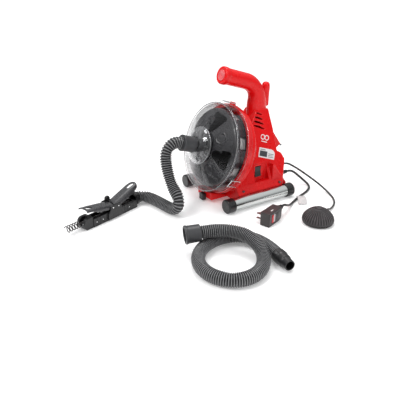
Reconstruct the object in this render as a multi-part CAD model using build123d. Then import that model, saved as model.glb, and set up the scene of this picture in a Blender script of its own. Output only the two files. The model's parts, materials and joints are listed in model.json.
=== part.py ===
from build123d import *
import math
import os

os.makedirs("parts", exist_ok=True)

# Drain snake machine: a drum machine on two skid tubes, with its guide hose and
# hand-held autofeed, its foot pedal, its mains cord and a spare guide hose.
# Frame: +Z up, +X the switch side, -Y the drum cover side. The origin is on the
# standing plane, under the middle of the two skid tubes.

# ---------------------------------------------------------------- dimensions
TILT = 17.0                    # the drum axis rises this many degrees to the front
RIM = (0.0, -98.0, 152.0)      # centre of the cover's front rim
COVER_R = 119.5                # outside radius of the cover skirt
COVER_T = 2.5                  # cover wall
SKIRT = 34.0                   # skirt depth behind the rim
RING_R = 123.0                 # front ring, outside
RING_D0, RING_D1 = -34.5, -45.8
BOWL_R0, BOWL_R1 = 118.0, 70.0  # bowl behind the ring
BOWL_D0, BOWL_D1, BOWL_D2 = -46.0, -60.0, -108.0
WALL = 4.0                     # housing wall
HUB_R = 48.4                   # nose dome base radius
HUB_D0, HUB_D1 = 32.0, 52.0
CUFF_R, CUFF_BORE = 21.0, 13.0
CUFF_D0, CUFF_D1 = 52.0, 90.0
DRUM_R = 106.0
SHAFT_R = 8.0
GEAR_M, GEAR_N, PINION_N = 1.5, 44, 12
GEAR_C = GEAR_M * (GEAR_N + PINION_N) / 2.0   # centre distance, 42 mm

SKID_X = 105.0                 # half the track of the skid tubes
TUBE_R = 16.5
CAP_R, CAP_BORE = 19.0, 16.55
SKID_Y, CAP_L = 114.0, 24.0

HOSE_R = 15.5                  # corrugated guide hose, outside
CORD_R = 3.25                  # mains cord
AIR_R = 2.75                   # air hose
CABLE_R = 3.2                  # drain cable

GRIP_R = 21.5
GRIP_SLOPE = 16.0
NECK_Y = 58.0

PEDAL = (271.3, 54.5)
PEDAL_R, PEDAL_H = 40.0, 45.0

AF0 = (-70.0, -298.0, 0.0)     # rear of the autofeed, on the standing plane
AF_DIR = (0.338, -0.941, 0.0)
AF_L, AF_W = 177.0, 32.0
CABLE_Z = 18.0                 # height of the cable through the autofeed

PLUG = (205.9, -44.2, 0.0)     # middle of the plug's underside
PLUG_DIR = (-0.32, 0.947, 0.0)
PLUG_L, PLUG_D, PLUG_H = 60.0, 28.0, 36.0

c, s = math.cos(math.radians(TILT)), math.sin(math.radians(TILT))
AX = Vector(0, -c, s)          # along the drum axis, to the front
UP = Vector(0, s, c)
DRUM_PLANE = Plane(origin=RIM, x_dir=(1, 0, 0), z_dir=(0, -c, s))
DL = DRUM_PLANE.location
AFL = Plane(origin=AF0, x_dir=AF_DIR, z_dir=(0, 0, 1)).location
PLL = Plane(origin=PLUG, x_dir=PLUG_DIR, z_dir=(0, 0, 1)).location

parts = {}
volumes = {}


def add(name, shape):
    parts[name] = shape


def box(x0, x1, y0, y1, z0, z1):
    return Pos((x0 + x1) / 2, (y0 + y1) / 2, (z0 + z1) / 2) * Box(
        abs(x1 - x0), abs(y1 - y0), abs(z1 - z0))


def cyl(r, z0, z1, x=0.0, y=0.0):
    return Pos(x, y, (z0 + z1) / 2) * Cylinder(r, abs(z1 - z0))


def ring(r0, r1, z0, z1, x=0.0, y=0.0):
    return cyl(r1, z0, z1, x, y) - cyl(r0, z0 - 1, z1 + 1, x, y)


def turned(pts):
    """A closed (radius, station) outline turned about Z."""
    return revolve(make_face(Polyline(*[(r, 0, z) for r, z in pts], close=True)), Axis.Z, 360)


def prism_x(pts, x0, x1):
    """A (y, z) outline between two X planes."""
    f = make_face(Polyline(*[(x0, y, z) for y, z in pts], close=True))
    return extrude(f, amount=abs(x1 - x0), dir=(1, 0, 0))


def prism_y(pts, y0, y1):
    """An (x, z) outline between two Y planes."""
    f = make_face(Polyline(*[(x, y0, z) for x, z in pts], close=True))
    return extrude(f, amount=abs(y1 - y0), dir=(0, 1, 0))


def rod(p, q, r):
    p, q = Vector(*p), Vector(*q)
    d = q - p
    return Plane(origin=p, z_dir=d).location * cyl(r, 0, d.length)


def tube_along(name, pts, r, limp=False):
    """A plain round tube along straight runs joined by tangent arcs."""
    v = [Vector(*p) for p in pts]
    radii, turns = [], []
    for i in range(1, len(v) - 1):
        a, b = v[i] - v[i - 1], v[i + 1] - v[i]
        t = math.radians(a.get_angle(b))
        turns.append(round(math.degrees(t)))
        radii.append(0.45 * min(a.length, b.length) / math.tan(t / 2))
    path = FilletPolyline(*v, radius=radii)
    w = path.wire() if hasattr(path, "wire") else path
    start = Plane(origin=v[0], z_dir=(v[1] - v[0]))
    solid = sweep(start * Circle(r), path=w)
    want = math.pi * r * r * w.length
    print(f"{name}: length {w.length:.0f} radii {[round(x) for x in radii]} turns {turns} "
          f"runs {[round((v[i + 1] - v[i]).length) for i in range(len(v) - 1)]} volume ratio {solid.volume / want:.4f}")
    return solid


def gear(n, m, z0, z1, bore, phase=0.0, slack=0.25):
    """A spur gear with straight-sided teeth; a tooth is centred at the phase angle."""
    rp = m * n / 2.0
    ra, rf = rp + 0.9 * m, rp - 1.2 * m
    pts = []
    step = 2 * math.pi / n
    half_p = step / 4 - slack / rp / 2
    for k in range(n):
        a = phase + k * step
        tip = half_p * 0.52
        root = half_p * 1.45
        for ang, rr in ((-root, rf), (-tip, ra), (tip, ra), (root, rf)):
            pts.append((rr * math.cos(a + ang), rr * math.sin(a + ang), z0))
    f = make_face(Polyline(*pts, close=True))
    g = extrude(f, amount=z1 - z0, dir=(0, 0, 1))
    return g - cyl(bore, z0 - 1, z1 + 1)


# ---------------------------------------------------------------- housing
side_out = [(38, 238), (20, 205), (-8, 150), (-30, 100), (-52, 60), (-64, 40), (-64, 13),
            (112, 13), (118, 45), (118, 98), (108, 116), (94, 124), (90, 185), (82, 238)]
front_half = [(24, 238), (29, 218.5), (72, 80), (84, 52), (98, 38), (98, 22), (80, 13)]
front_out = front_half + [(-x, z) for x, z in reversed(front_half)]


def inset_prism(pts, maker, a0, a1, t):
    if maker is prism_x:
        f = make_face(Polyline(*[(a0, y, z) for y, z in pts], close=True))
        f = offset(f, amount=-t, kind=Kind.INTERSECTION)
        return extrude(f, amount=abs(a1 - a0), dir=(1, 0, 0))
    f = make_face(Polyline(*[(x, a0, z) for x, z in pts], close=True))
    f = offset(f, amount=-t, kind=Kind.INTERSECTION)
    return extrude(f, amount=abs(a1 - a0), dir=(0, 1, 0))


tower = prism_x(side_out, -130, 130) & prism_y(front_out, -90, 150)
# the two rear corners of the motor end are cut back
for sx in (1, -1):
    tower -= Pos(sx * 107.5, 127.5, 150) * Rot(0, 0, sx * 45) * Box(72.1, 160, 400)
tower_in = inset_prism(side_out, prism_x, -130, 130, WALL) & inset_prism(front_out, prism_y, -90, 150, WALL)
for sx in (1, -1):
    tower_in -= Pos(sx * 107.5, 127.5, 150) * Rot(0, 0, sx * 45) * Box(80.1, 160, 400)

bowl = DL * turned([(0, BOWL_D0), (BOWL_R0, BOWL_D0), (BOWL_R0, BOWL_D1), (BOWL_R1, BOWL_D2), (0, BOWL_D2)])
bowl_in = DL * turned([(0, BOWL_D0 + 1), (BOWL_R0 - WALL, BOWL_D0 + 1), (BOWL_R0 - WALL, BOWL_D1 - 1),
                       (BOWL_R1 + 1, BOWL_D2 + 4), (0, BOWL_D2 + 4)])

# handle: a round grip parallel to the ridge, bent down into an oval neck
gs, gc = math.sin(math.radians(GRIP_SLOPE)), math.cos(math.radians(GRIP_SLOPE))
corner = Vector(0, NECK_Y, 303.5)
grip_front = corner + Vector(0, -gc, gs) * 123.0
grip_path = FilletPolyline(grip_front, corner, Vector(0, NECK_Y, 214), radius=58.0)
gw = grip_path.wire() if hasattr(grip_path, "wire") else grip_path
grip = sweep(Plane(origin=grip_front, z_dir=Vector(0, gc, -gs)) * Circle(GRIP_R), path=gw)
end_cap_plane = Plane(origin=grip_front, z_dir=Vector(0, -gc, gs))
grip_end = end_cap_plane.location * turned([(0, -20), (GRIP_R, -20), (23.2, -10), (23.2, -2), (20, 2.5), (0, 2.5)])
HANDLE_Z = 240.0
neck = Pos(0, NECK_Y, 0) * extrude(Plane.XY.offset(196) * Ellipse(22, 30), amount=HANDLE_Z - 196)
neck_in = Pos(0, NECK_Y, 0) * extrude(Plane.XY.offset(190) * Ellipse(18, 26), amount=HANDLE_Z - 194)
neck_top = Pos(0, NECK_Y, 0) * extrude(Plane.XY.offset(HANDLE_Z) * Ellipse(22, 30), amount=28)

peg = Pos(0, 88, 0) * turned([(0, 262), (10.5, 262), (10.5, 300), (7.5, 306), (0, 307.5)])
fin = prism_x([(84, 186), (108, 178), (151, 121), (131, 107), (84, 108)], -9, 9)
leg_f = [(60, 90), (74, 84), (88, 52), (101, 37), (101, 20), (66, 20)]
rear_web = [(58, 100), (64, 96), (112, 34), (112, 20), (58, 20)]
outer = tower + bowl + neck + fin
add("carry_handle", (grip & box(-60, 60, -100, 120, HANDLE_Z, 400)) + neck_top + grip_end + peg)
for sx in (1, -1):
    outer += prism_y([(sx * x, z) for x, z in leg_f], -66, -46)
    outer += prism_x(rear_web, 72 if sx > 0 else -86, 86 if sx > 0 else -72)
outer += rod((0, 146, 122.5), (0, 158.5, 114.5), 2.2)
lobe = box(-34, 34, -112, -58, 9, 40) - DL * cyl(RING_R + 0.6, -80, 40)
outer += lobe

BOSSES = ((-20, 46), (100, 40), (70, 140), (58, 222))
inner = tower_in + bowl_in + neck_in
for yy, zz in BOSSES:
    inner -= Pos(0, yy, zz) * Rot(0, 90, 0) * Cylinder(5.0, 300)
shell = outer - inner
# the mouth of the bowl
shell -= DL * cyl(BOWL_R0 - WALL, BOWL_D1, 60)
shell -= DL * cyl(RING_R + 0.6, BOWL_D0, 60)
# switch pocket in the +X wall
shell += box(61, 92, -2, 54, 50, 104) & outer
shell -= box(65, 110, 2, 50, 54, 100)
shell -= box(40, 70, 7.6, 32.4, 61.6, 96.4)
# saddles over the skid tubes
for sx in (1, -1):
    shell -= Pos(sx * SKID_X, 0, 19) * Rot(90, 0, 0) * Cylinder(TUBE_R + 0.1, 300)
    shell -= Pos(sx * SKID_X, 139, 19) * Rot(90, 0, 0) * Cylinder(CAP_R + 0.3, 100)
# cooling slots, four on each side, following the drum axis
for i, (yy, zz, ln) in enumerate(((36, 233, 10), (33, 222, 17), (31, 211, 22), (29, 200, 24))):
    for sx in (1, -1):
        slot = Pos(sx * 30, yy + 8, zz - 3) * Rot(-TILT, 0, 0) * Box(60, ln, 3.2)
        shell -= slot
# cord inlets in the rear wall
shell -= Pos(52, 118, 76) * Rot(90, 0, 0) * Cylinder(5.0, 30)
shell -= Pos(56, 118, 51) * Rot(90, 0, 0) * Cylinder(6.0, 30)

right = shell & box(0.15, 140, -200, 200, 0, 400)
left = shell & box(-140, -0.15, -200, 200, 0, 400)


def biggest(sh):
    sol = sorted(sh.solids(), key=lambda q: q.volume)
    if len(sol) > 1:
        print("  dropped slivers", [round(q.volume, 1) for q in sol[:-1]])
    return sol[-1]


add("housing_shell_right", biggest(right))
add("housing_shell_left", biggest(left))

# ---------------------------------------------------------------- skid
for nm, sx in (("right", 1), ("left", -1)):
    t = Pos(sx * SKID_X, 0, 19) * Rot(90, 0, 0) * (Cylinder(TUBE_R, 2 * (SKID_Y - 6)) - Cylinder(TUBE_R - 1.5, 300))
    add(f"skid_tube_{nm}", t)
    caps = []
    for end, sy in (("front", -1), ("rear", 1)):
        cap = turned([(0, 0), (CAP_R - 2, 0), (CAP_R, 2), (CAP_R, CAP_L), (CAP_BORE, CAP_L), (CAP_BORE, 4), (0, 4)])
        pl = Plane(origin=(sx * SKID_X, sy * SKID_Y, 19), z_dir=(0, -sy, 0))
        caps.append(pl.location * cap)
    add(f"skid_caps_{nm}", Compound(caps))
clamps = []
for sx in (1, -1):
    for yy in (-48, 80):
        # a screw down through the foot into the tube's wall
        clamps.append(Pos(sx * 94, yy, 0) * (cyl(2.0, 24, 42.5) + cyl(4.2, 42.5, 45.5)))

# ---------------------------------------------------------------- front ring, cover and nose
add("front_ring", DL * turned([(112, RING_D0), (121.5, RING_D0), (RING_R, RING_D0 - 1.5), (RING_R, RING_D1),
                               (112, RING_D1)]))
cov = turned([(COVER_R, -SKIRT), (COVER_R, -4), (COVER_R + 1.2, -3), (COVER_R + 1.2, 0.5), (COVER_R - 2, 2.2),
              (112, 2.4), (HUB_R + 3, HUB_D0), (37, HUB_D0),
              (37, HUB_D0 - COVER_T), (47.5, HUB_D0 - COVER_T), (111, -0.3), (COVER_R - COVER_T, -3), (COVER_R - COVER_T, -SKIRT)])
for k in range(6):
    a = math.radians(60 * k)
    cov -= cyl(2.5, 20, 40, 41.5 * math.cos(a), 41.5 * math.sin(a))
add("clear_cover", DL * cov)
add("nose_dome", DL * turned([(HUB_R, HUB_D0 + 0.1), (HUB_R, HUB_D0 + 3), (45, HUB_D0 + 8), (37, HUB_D0 + 14.5), (28, HUB_D1 - 1.5),
                              (24, HUB_D1 - 0.1), (15, HUB_D1 - 0.1), (15, HUB_D1 - 3), (25.5, HUB_D1 - 4.2), (34.5, HUB_D0 + 12.5), (42.3, HUB_D0 + 6.6),
                              (HUB_R - 3, HUB_D0 + 2.2), (HUB_R - 3, HUB_D0 + 0.1)]))
nose_ring = ring(12.06, 46, 25.8, 29.4)
for k in range(6):
    a = math.radians(60 * k + 30)
    nose_ring -= cyl(6.5, 20, 32, 28 * math.cos(a), 28 * math.sin(a))
add("hose_cuff", DL * turned([(CUFF_BORE, CUFF_D0), (CUFF_R - 1.5, CUFF_D0), (CUFF_R - 0.5, CUFF_D0 + 3), (CUFF_R - 0.3, CUFF_D1 - 6),
                              (CUFF_R + 0.6, CUFF_D1 - 5), (CUFF_R + 0.6, CUFF_D1 - 1), (CUFF_R - 0.6, CUFF_D1), (CUFF_BORE, CUFF_D1)]))
for k in range(6):
    a = math.radians(60 * k)
    nose_ring += cyl(2.4, 28, 33.2, 41.5 * math.cos(a), 41.5 * math.sin(a))
add("nose_bearing_plate", DL * (nose_ring + ring(12.06, 17, 28.2, 44)))

# latches: three wire bails on the ring, each hooked over a catch on the cover
LATCH_A = (90.0, -32.0, 212.0)
brackets, catches = [], []
for i, ang in enumerate(LATCH_A):
    R = Rot(0, 0, ang - 90)
    b = box(-8.5, 8.5, 120.0, 129.5, -44.5, -36.5)
    b -= Pos(0, 126.5, -40.5) * Rot(0, 90, 0) * Cylinder(1.26, 40)
    brackets.append(DL * (R * b))
    k = (box(-7, 7, 118, 124.2, -20, -15) + box(-7, 7, 118, 128.2, -17.5, -15)) - cyl(COVER_R - 1.0, -60, 0)
    catches.append(DL * (R * k))
    w = 1.2
    loop = (Pos(0, 126.5, -40.5) * Rot(0, 90, 0) * Cylinder(w, 22)
            + Pos(0, 126.5, -13.2) * Rot(0, 90, 0) * Cylinder(w, 22)
            + Pos(11, 126.5, -26.85) * Cylinder(w, 27.3) + Pos(-11, 126.5, -26.85) * Cylinder(w, 27.3)
            + Pos(11, 126.5, -40.5) * Sphere(w) + Pos(-11, 126.5, -40.5) * Sphere(w)
            + Pos(11, 126.5, -13.2) * Sphere(w) + Pos(-11, 126.5, -13.2) * Sphere(w))
    add(("latch_bail_top", "latch_bail_right", "latch_bail_left")[i], DL * (R * loop))
for b in brackets:
    parts["front_ring"] = parts["front_ring"] + b
for k in catches:
    parts["clear_cover"] = parts["clear_cover"] + k

# ---------------------------------------------------------------- drum and drive
front = turned([(DRUM_R, -50), (DRUM_R, -8), (DRUM_R - 3, -5), (41, 20), (14, 20), (14, 17.5), (40, 17.5), (DRUM_R - 4.5, -8),
                (DRUM_R - 2.6, -10), (DRUM_R - 2.6, -50)])
for k in range(4):
    a = math.radians(90 * k - 10)
    wf = make_face(Polyline((43, -9, 0), (94, -31, 0), (94, 31, 0), (43, 9, 0), close=True))
    wf = fillet(wf.vertices(), 8)
    front -= Rot(0, 0, math.degrees(a)) * extrude(wf, amount=60, both=True)
for k in range(8):
    front -= Rot(0, 0, 45 * k + 22) * box(90, 120, -15, 15, -42, -20)
drum_front = front
add("drum_front_shell", DL * drum_front)
back = turned([(SHAFT_R + 0.02, -56), (30, -56), (30, -54), (DRUM_R - 1, -54), (DRUM_R - 1, -50.2), (26, -50.2), (26, -40), (SHAFT_R + 0.02, -40)])
for k in range(6):
    a = math.radians(60 * k)
    back -= cyl(15, -60, -49, 66 * math.cos(a), 66 * math.sin(a))
add("drum_back_plate", DL * back)
add("drum_shaft", DL * (cyl(SHAFT_R, -112.0, -38) + cyl(SHAFT_R + 3, -66, -56.2)))
coil = turned([(62, -48), (98, -48), (101, -44), (101, -18), (96, -13), (66, -13), (62, -18)])
add("cable_coil", DL * coil)
guide_arm = rod((0, 0, 6), (40, 0, -12), 5.0) + rod((40, 0, -12), (56.5, 0, -21.7), 5.0) + Pos(40, 0, -12) * Sphere(5.0) + Pos(0, 0, 6) * Sphere(5.0)
add("drum_cable_guide", DL * ((ring(8, 12, 8, 47) + ring(8, 13.9, 4, 19.9) + ring(12, 20, 14, 17.3) + cyl(13.9, 0, 6)) + guide_arm))
add("shaft_bearings", Compound([DL * ring(SHAFT_R + 0.05, 15.98, -88, -79), DL * ring(SHAFT_R + 0.05, 15.98, -110.4, -103.6)]))
bulk = ring(16, 84.5, -87, -83) + ring(16, 21, -88, -78)
for k in range(6):
    a = math.radians(60 * k + 30)
    bulk -= cyl(12, -92, -80, 52 * math.cos(a), 52 * math.sin(a))
add("bearing_bulkhead", DL * bulk)
add("drum_gear", DL * gear(GEAR_N, GEAR_M, -102, -94, SHAFT_R + 0.02, phase=math.radians(-90)))
# pinion on the motor's shaft, a gap facing the gear
pin = gear(PINION_N, GEAR_M, -103, -93, 2.52, phase=math.radians(90) + math.pi / PINION_N)
add("motor_pinion", DL * (Pos(0, -GEAR_C, 0) * pin))
plate = box(-38, 38, -72, 36, -110.5, -107) - cyl(16, -120, -100) - cyl(9, -120, -100, 0, -GEAR_C)
plate += ring(16, 20, -107.2, -103.6)
for x, y in ((-33, -60), (33, -60), (-33, 28), (33, 28)):
    plate += cyl(4.5, -107.2, -87.2, x, y)
add("gearbox_plate", DL * plate)
can = turned([(2.55, -110.7), (29, -110.7), (29, -180), (22, -186), (2.55, -186), (2.55, -183), (21, -183), (26, -178), (26, -114), (2.55, -114)])
add("motor_can", DL * (Pos(0, -GEAR_C, 0) * can))
rot_core = ring(2.52, 21, -168, -124)
for k in range(8):
    rot_core -= Rot(0, 0, 45 * k) * box(12, 30, -1.6, 1.6, -180, -110)
rot_core += cyl(2.5, -188, -92)
add("motor_armature", DL * (Pos(0, -GEAR_C, 0) * rot_core))

# ---------------------------------------------------------------- switch
bez = box(65.05, 67.5, 4.5, 35.5, 58.5, 99.5) + box(46, 65.05, 8, 32, 62, 96)
bez -= box(50, 70, 9.8, 30.2, 63.1, 94.9)
bez -= Pos(62, 20, 79) * Rot(90, 0, 0) * Cylinder(1.55, 26)
add("switch_body", bez)
rk = prism_y([(-6, -3), (-2, -13.4), (3.5, -14.4), (9.2, -13.4), (5.6, 0), (5.2, 13.8), (2.5, 14.2), (-2, 13.4), (-6, 3)], 10.2, 29.8)
rk += Pos(0, 20, 0) * Rot(90, 0, 0) * Cylinder(1.5, 23.4)
add("switch_rocker", Pos(62, 0, 79) * rk)
add("air_switch", box(38, 56, 70, 96, 64, 88) + Pos(52, 104, 76) * Rot(90, 0, 0) * Cylinder(2.6, 18))

# glands in the rear wall
add("air_hose_gland", Pos(52, 0, 76) * Rot(-90, 0, 0) * turned([(1.5, 113.5), (4.9, 113.5), (4.9, 118.2), (6.5, 118.2), (6.5, 120.5), (4.2, 126), (1.5, 126)]))
add("cord_strain_relief", Pos(56, 0, 51) * Rot(-90, 0, 0) * turned([(1.5, 112), (5.9, 112), (5.9, 118.2), (7.4, 118.2), (7.4, 121.5), (5.6, 124), (4.4, 140), (1.5, 140)]))

# small fittings on the housing
add("front_bumper", box(-9, 9, -124, -112.2, 3, 22))
hs = []
for yy, zz in BOSSES:
    hs.append(Pos(0, yy, zz) * Rot(0, 90, 0) * Cylinder(1.9, 24))
# ---------------------------------------------------------------- guide hose and autofeed
e0 = Vector(*RIM) + AX * CUFF_D1
e1 = e0 + AX * 16
GUIDE = [tuple(e0), tuple(e1), (1, -219, 176.5), (2, -231, 160), (5, -233, 137), (10, -231.5, 112),
         (18, -229, 88), (32, -227, 69), (53, -226, 56), (60, -228.5, 37.5), (50, -232.5, 21.5), (33, -235.5, 16),
         (12, -239, 15.7), (-10, -242, 15.7), (-32, -246, 16), (-54, -252, 17), (-70.5, -263, 18.5), (-76.5, -280, 20)]
af_dir = Vector(*AF_DIR).normalized()
GUIDE.append(tuple(Vector(*AF0) + Vector(0, 0, 20)))
add("guide_hose", tube_along("guide_hose", GUIDE, HOSE_R))

w = AF_W / 2
base = box(0.2, 150, -w, w, 0, 23)
base -= box(12, 66, -w + 4.5, w - 4.5, 7, 30)
base -= box(92, 146, -w + 4.5, w - 4.5, 7, 30)
base += box(66, 92, -w, w, 22, 24.7) + box(66, 92, -14.7, 14.7, 25, 35)
base += box(77.8, 80.8, -14.7, -9.7, 34, 47)
base -= Pos(75, 0, CABLE_Z) * Rot(0, 90, 0) * Cylinder(6.0, 220)
for px_ in (88, 70):
    base -= Pos(px_, 0, 33) * Rot(90, 0, 0) * Cylinder(2.02, 60)
for px_ in (88, 70):
    base -= Pos(px_, 10.8, 33) * Rot(90, 0, 0) * Cylinder(4.2, 6.4)
add("autofeed_base", AFL * base)
nose = box(150.1, AF_L, -15, 15, 0, 34)
nose = fillet(nose.edges().filter_by(Axis.Z) , 6)
nose -= Pos(160, 0, CABLE_Z) * Rot(0, 90, 0) * Cylinder(6.5, 60)
add("autofeed_nose", AFL * nose)
add("hose_clamp", AFL * (Pos(0, 0, 20) * Rot(0, 90, 0) * ring(HOSE_R + 0.1, 18.6, -9.5, 0.1)))


def lever(length, tip_round):
    """A channel-shaped lever along +x from its pivot at the origin, open below."""
    o = box(-5, length, -17.5, 17.5, -6, 6.5)
    o -= box(-7, length + 2, -15, 15, -9, 4)
    o += box(-5, 7, -17.5, 17.5, 4, 6.5)
    if tip_round:
        o -= box(length - 17.5, length + 1, -18, 18, -10, 10) - cyl(17.5, -10, 10, length - 17.5, 0)
    o -= extrude(Plane.XY.offset(0) * (Pos(length - 20, 0) * SlotOverall(17, 7)), amount=20)
    for sy in (-1, 1):
        o += box(30, 42, 15 if sy > 0 else -17.5, 17.5 if sy > 0 else -15, -8.4, -5)
    o -= Rot(90, 0, 0) * Cylinder(2.04, 60)
    return o


ADV, RET = 12.0, 20.0          # how far each lever stands up at rest, degrees
pins = []
for px_ in (88, 70):
    pins.append(AFL * (Pos(px_, 0, 33) * Rot(90, 0, 0) * Cylinder(2.0, 42)))
add("lever_pins", Compound(pins))


def roller_set(x_at):
    """A feed roller with its journals, carried by the lever's two flanges."""
    return Pos(x_at, 0, -5.0) * Rot(90, 0, 0) * (Cylinder(6.2, 12) + Cylinder(1.5, 34.8))


lev_adv = AFL * (Pos(88, 0, 33) * Rot(0, -ADV, 0))
lev_ret = AFL * (Pos(70, 0, 33) * Rot(0, RET, 0) * Rot(0, 0, 180))
r1 = roller_set(36)
r2 = roller_set(36)
fl = lever(82, False) - Pos(82, 0, 0) * Rot(0, -35, 0) * box(0, 20, -20, 20, -30, 30)
rl = lever(86, True)
hole = Pos(36, 0, -5.0) * Rot(90, 0, 0) * Cylinder(1.55, 60)
add("advance_lever", lev_adv * (fl - hole))
add("retract_lever", lev_ret * (rl - hole))
add("advance_roller", lev_adv * r1)
add("retract_roller", lev_ret * r2)
add("lever_springs", Compound([AFL * (Pos(px_, 0, 33) * Rot(90, 0, 0) * ring(2.15, 3.8, -13.5, -8)) for px_ in (88, 70)]))

# drain cable through the autofeed, and its open spring tip
tip0 = Vector(0, 0, CABLE_Z)
feed = Pos(0, 0, CABLE_Z) * Rot(0, 90, 0) * cyl(CABLE_R, 15, AF_L + 4)
add("drain_cable_end", AFL * feed)
HX, HR, HW, HP, HT = AF_L + 1.5, 8.0, 1.25, 7.6, 5.2
helix = Helix(pitch=HP, height=HP * HT, radius=HR)
prof = Plane(origin=helix @ 0, z_dir=helix % 0) * Circle(HW)
spring = sweep(prof, path=helix, is_frenet=True)
tip_dir = Plane(origin=(HX, 0, CABLE_Z), z_dir=(1, 0, 0), x_dir=(0, 0, 1))
spring = tip_dir.location * (Pos(0, 0, HW) * spring)
add("spring_tip", AFL * spring)

# ---------------------------------------------------------------- foot pedal
PX, PY = PEDAL
add("pedal_base", Pos(PX, PY, 0) * (turned([(0, 0), (PEDAL_R - 1, 0), (PEDAL_R, 1), (PEDAL_R, 6), (PEDAL_R - 2, 7), (0, 7)])))
dome = turned([(PEDAL_R - 2.3, 7.3), (PEDAL_R - 0.8, 12), (PEDAL_R - 3.5, 20), (PEDAL_R - 10, 30), (PEDAL_R - 18, 37.5), (18, 41),
               (15.2, 41.8), (15.2, 38.8), (20.5, 34.8), (27.8, 27.3), (33.8, 19), (36.0, 12), (35.2, 7.3)])
add("pedal_dome", Pos(PX, PY, 0) * dome)
add("pedal_top", Pos(PX, PY, 0) * (turned([(0, PEDAL_H), (9, PEDAL_H - 0.3), (14.9, PEDAL_H - 2.2), (14.9, 38.9), (5, 38.9), (5, 36), (0, 36)])))
bulb_dir = Vector(252 - PX, 100 - PY, 0).normalized()
nip = Plane(origin=(PX, PY, 13), x_dir=(0, 0, 1), z_dir=tuple(bulb_dir)).location
parts["pedal_base"] = parts["pedal_base"] + nip * (cyl(4.6, 39.0, 48) + box(-13, 0, -4.6, 4.6, 39.0, 42.5)) - Pos(PX, PY, 0) * cyl(PEDAL_R - 0.3, 7.05, 30)

# ---------------------------------------------------------------- plug
pb = box(-PLUG_L / 2, PLUG_L / 2, -PLUG_D / 2, PLUG_D / 2, 0, PLUG_H)
pb = fillet(pb.edges().filter_by(Axis.Y).group_by(Axis.X)[-1].sort_by(Axis.Z)[0], 14)
pb = fillet(pb.edges().filter_by(Axis.Z), 2.5)
pb -= box(-19.2, -1.8, -PLUG_D / 2 - 1, -PLUG_D / 2 + 1.2, 6.8, 31.2)
pb -= box(-18.0, -3.0, -PLUG_D / 2 - 1, -PLUG_D / 2 + 10, 8.0, 30.0)
pb -= Pos(PLUG_L / 2, 0, 25) * Rot(0, 90, 0) * Cylinder(6.0, 12)
add("plug_body", PLL * pb)
add("plug_reset_button", PLL * box(-18.0 + 0.5, -10.7, -PLUG_D / 2 - 0.6, -PLUG_D / 2 + 5.5, 8.5, 29.5))
add("plug_test_button", PLL * box(-9.9, -3.5, -PLUG_D / 2 - 0.2, -PLUG_D / 2 + 5.5, 8.5, 29.5))
blades = [PLL * box(-21.2, -14.8, PLUG_D / 2, PLUG_D / 2 + 16, z0 - 0.75, z0 + 0.75) for z0 in (11.5, 24.2)]
blades.append(PLL * (Pos(-3.0, PLUG_D / 2 + 9, 17.9) * Rot(90, 0, 0) * Cylinder(2.4, 18)))
add("plug_prongs", Compound(blades))
sr_plug = Rot(0, 90, 0) * turned([(1.5, PLUG_L / 2 - 5.9), (5.9, PLUG_L / 2 - 5.9), (5.9, PLUG_L / 2 + 6), (5.0, PLUG_L / 2 + 9), (4.4, PLUG_L / 2 + 22), (1.5, PLUG_L / 2 + 22)])
add("plug_strain_relief", PLL * (Pos(0, 0, 25) * sr_plug))

# ---------------------------------------------------------------- cords on the floor
pd_ = Vector(*PLUG_DIR).normalized()
plug_exit = Vector(PLUG[0], PLUG[1], 25) + pd_ * (PLUG_L / 2 + 22)
MAINS = [(56, 140, 51), (56, 153, 51), (57, 169, 43), (60, 186, 28), (68, 201, 13.5), (83, 207, 3.4), (102, 193, 3.3),
         (117, 170, 3.3), (126, 146, 3.3), (134, 121, 3.3), (146, 95, 3.3), (158, 71, 3.6), (171, 49, 9), (181, 29, 19),
         tuple(plug_exit + pd_ * 12), tuple(plug_exit)]
MAINS = [p if isinstance(p, tuple) else tuple(p) for p in MAINS]
AIR = [(52, 126, 76), (52, 140, 76), (60, 155, 68), (76, 175, 53), (94, 194, 36), (118, 209, 20), (144, 214, 8), (170, 208, 2.9),
       (194, 195, 2.8), (215, 177, 2.8), (230, 155, 2.8), (240, 133, 4.5)]
nipple_end = Vector(PX, PY, 13) + bulb_dir * 48
AIR += [tuple(nipple_end + bulb_dir * 14), tuple(nipple_end)]
add("mains_cord", tube_along("mains_cord", MAINS, CORD_R))
add("air_hose", tube_along("air_hose", AIR, AIR_R))
tagpl = Plane(origin=(131, 131, 8.4), x_dir=(0.94, 0.34, 0), z_dir=(0, 0.12, 0.993))
add("cord_tag", tagpl.location * (box(-5, 38, -12, 12, -0.25, 0.25)))

# ---------------------------------------------------------------- spare hose
SPARE = [(229.5, -270.5, 48), (236, -250, 49), (244, -226, 47), (255, -203, 44.5), (274, -186, 41.5), (298, -179, 37), (324, -178, 31),
         (349, -186, 22.5), (372, -206, 16.2), (386, -233, 15.7), (389, -262, 15.7), (379, -289, 15.7), (358, -308, 15.7),
         (331, -318, 15.7), (302, -317, 15.7), (273, -305, 15.7), (250, -284, 15.7), (236, -260, 15.7), (228, -233, 15.7),
         (228, -205, 15.7), (237, -179, 15.7), (254, -160, 15.7), (277, -149, 15.7), (302, -145, 15.7), (329, -146, 15.7), (355, -151, 16.5)]
add("spare_hose", tube_along("spare_hose", SPARE, HOSE_R))
a0, a1 = Vector(*SPARE[0]), Vector(*SPARE[1])
cuff_dir = (a0 - a1).normalized()
cpl = Plane(origin=tuple(a0), x_dir=(0, 0, 1), z_dir=tuple(cuff_dir)).location
add("spare_hose_cuff", cpl * turned([(12, 0.0), (18.6, 0.0), (19.6, 1.5), (20.4, 30), (21.4, 31), (21.4, 35), (20.6, 36), (17, 36), (17, 3.5), (12, 3.5)]))
b0, b1 = Vector(*SPARE[-1]), Vector(*SPARE[-2])
noz_dir = (b0 - b1).normalized()
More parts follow.
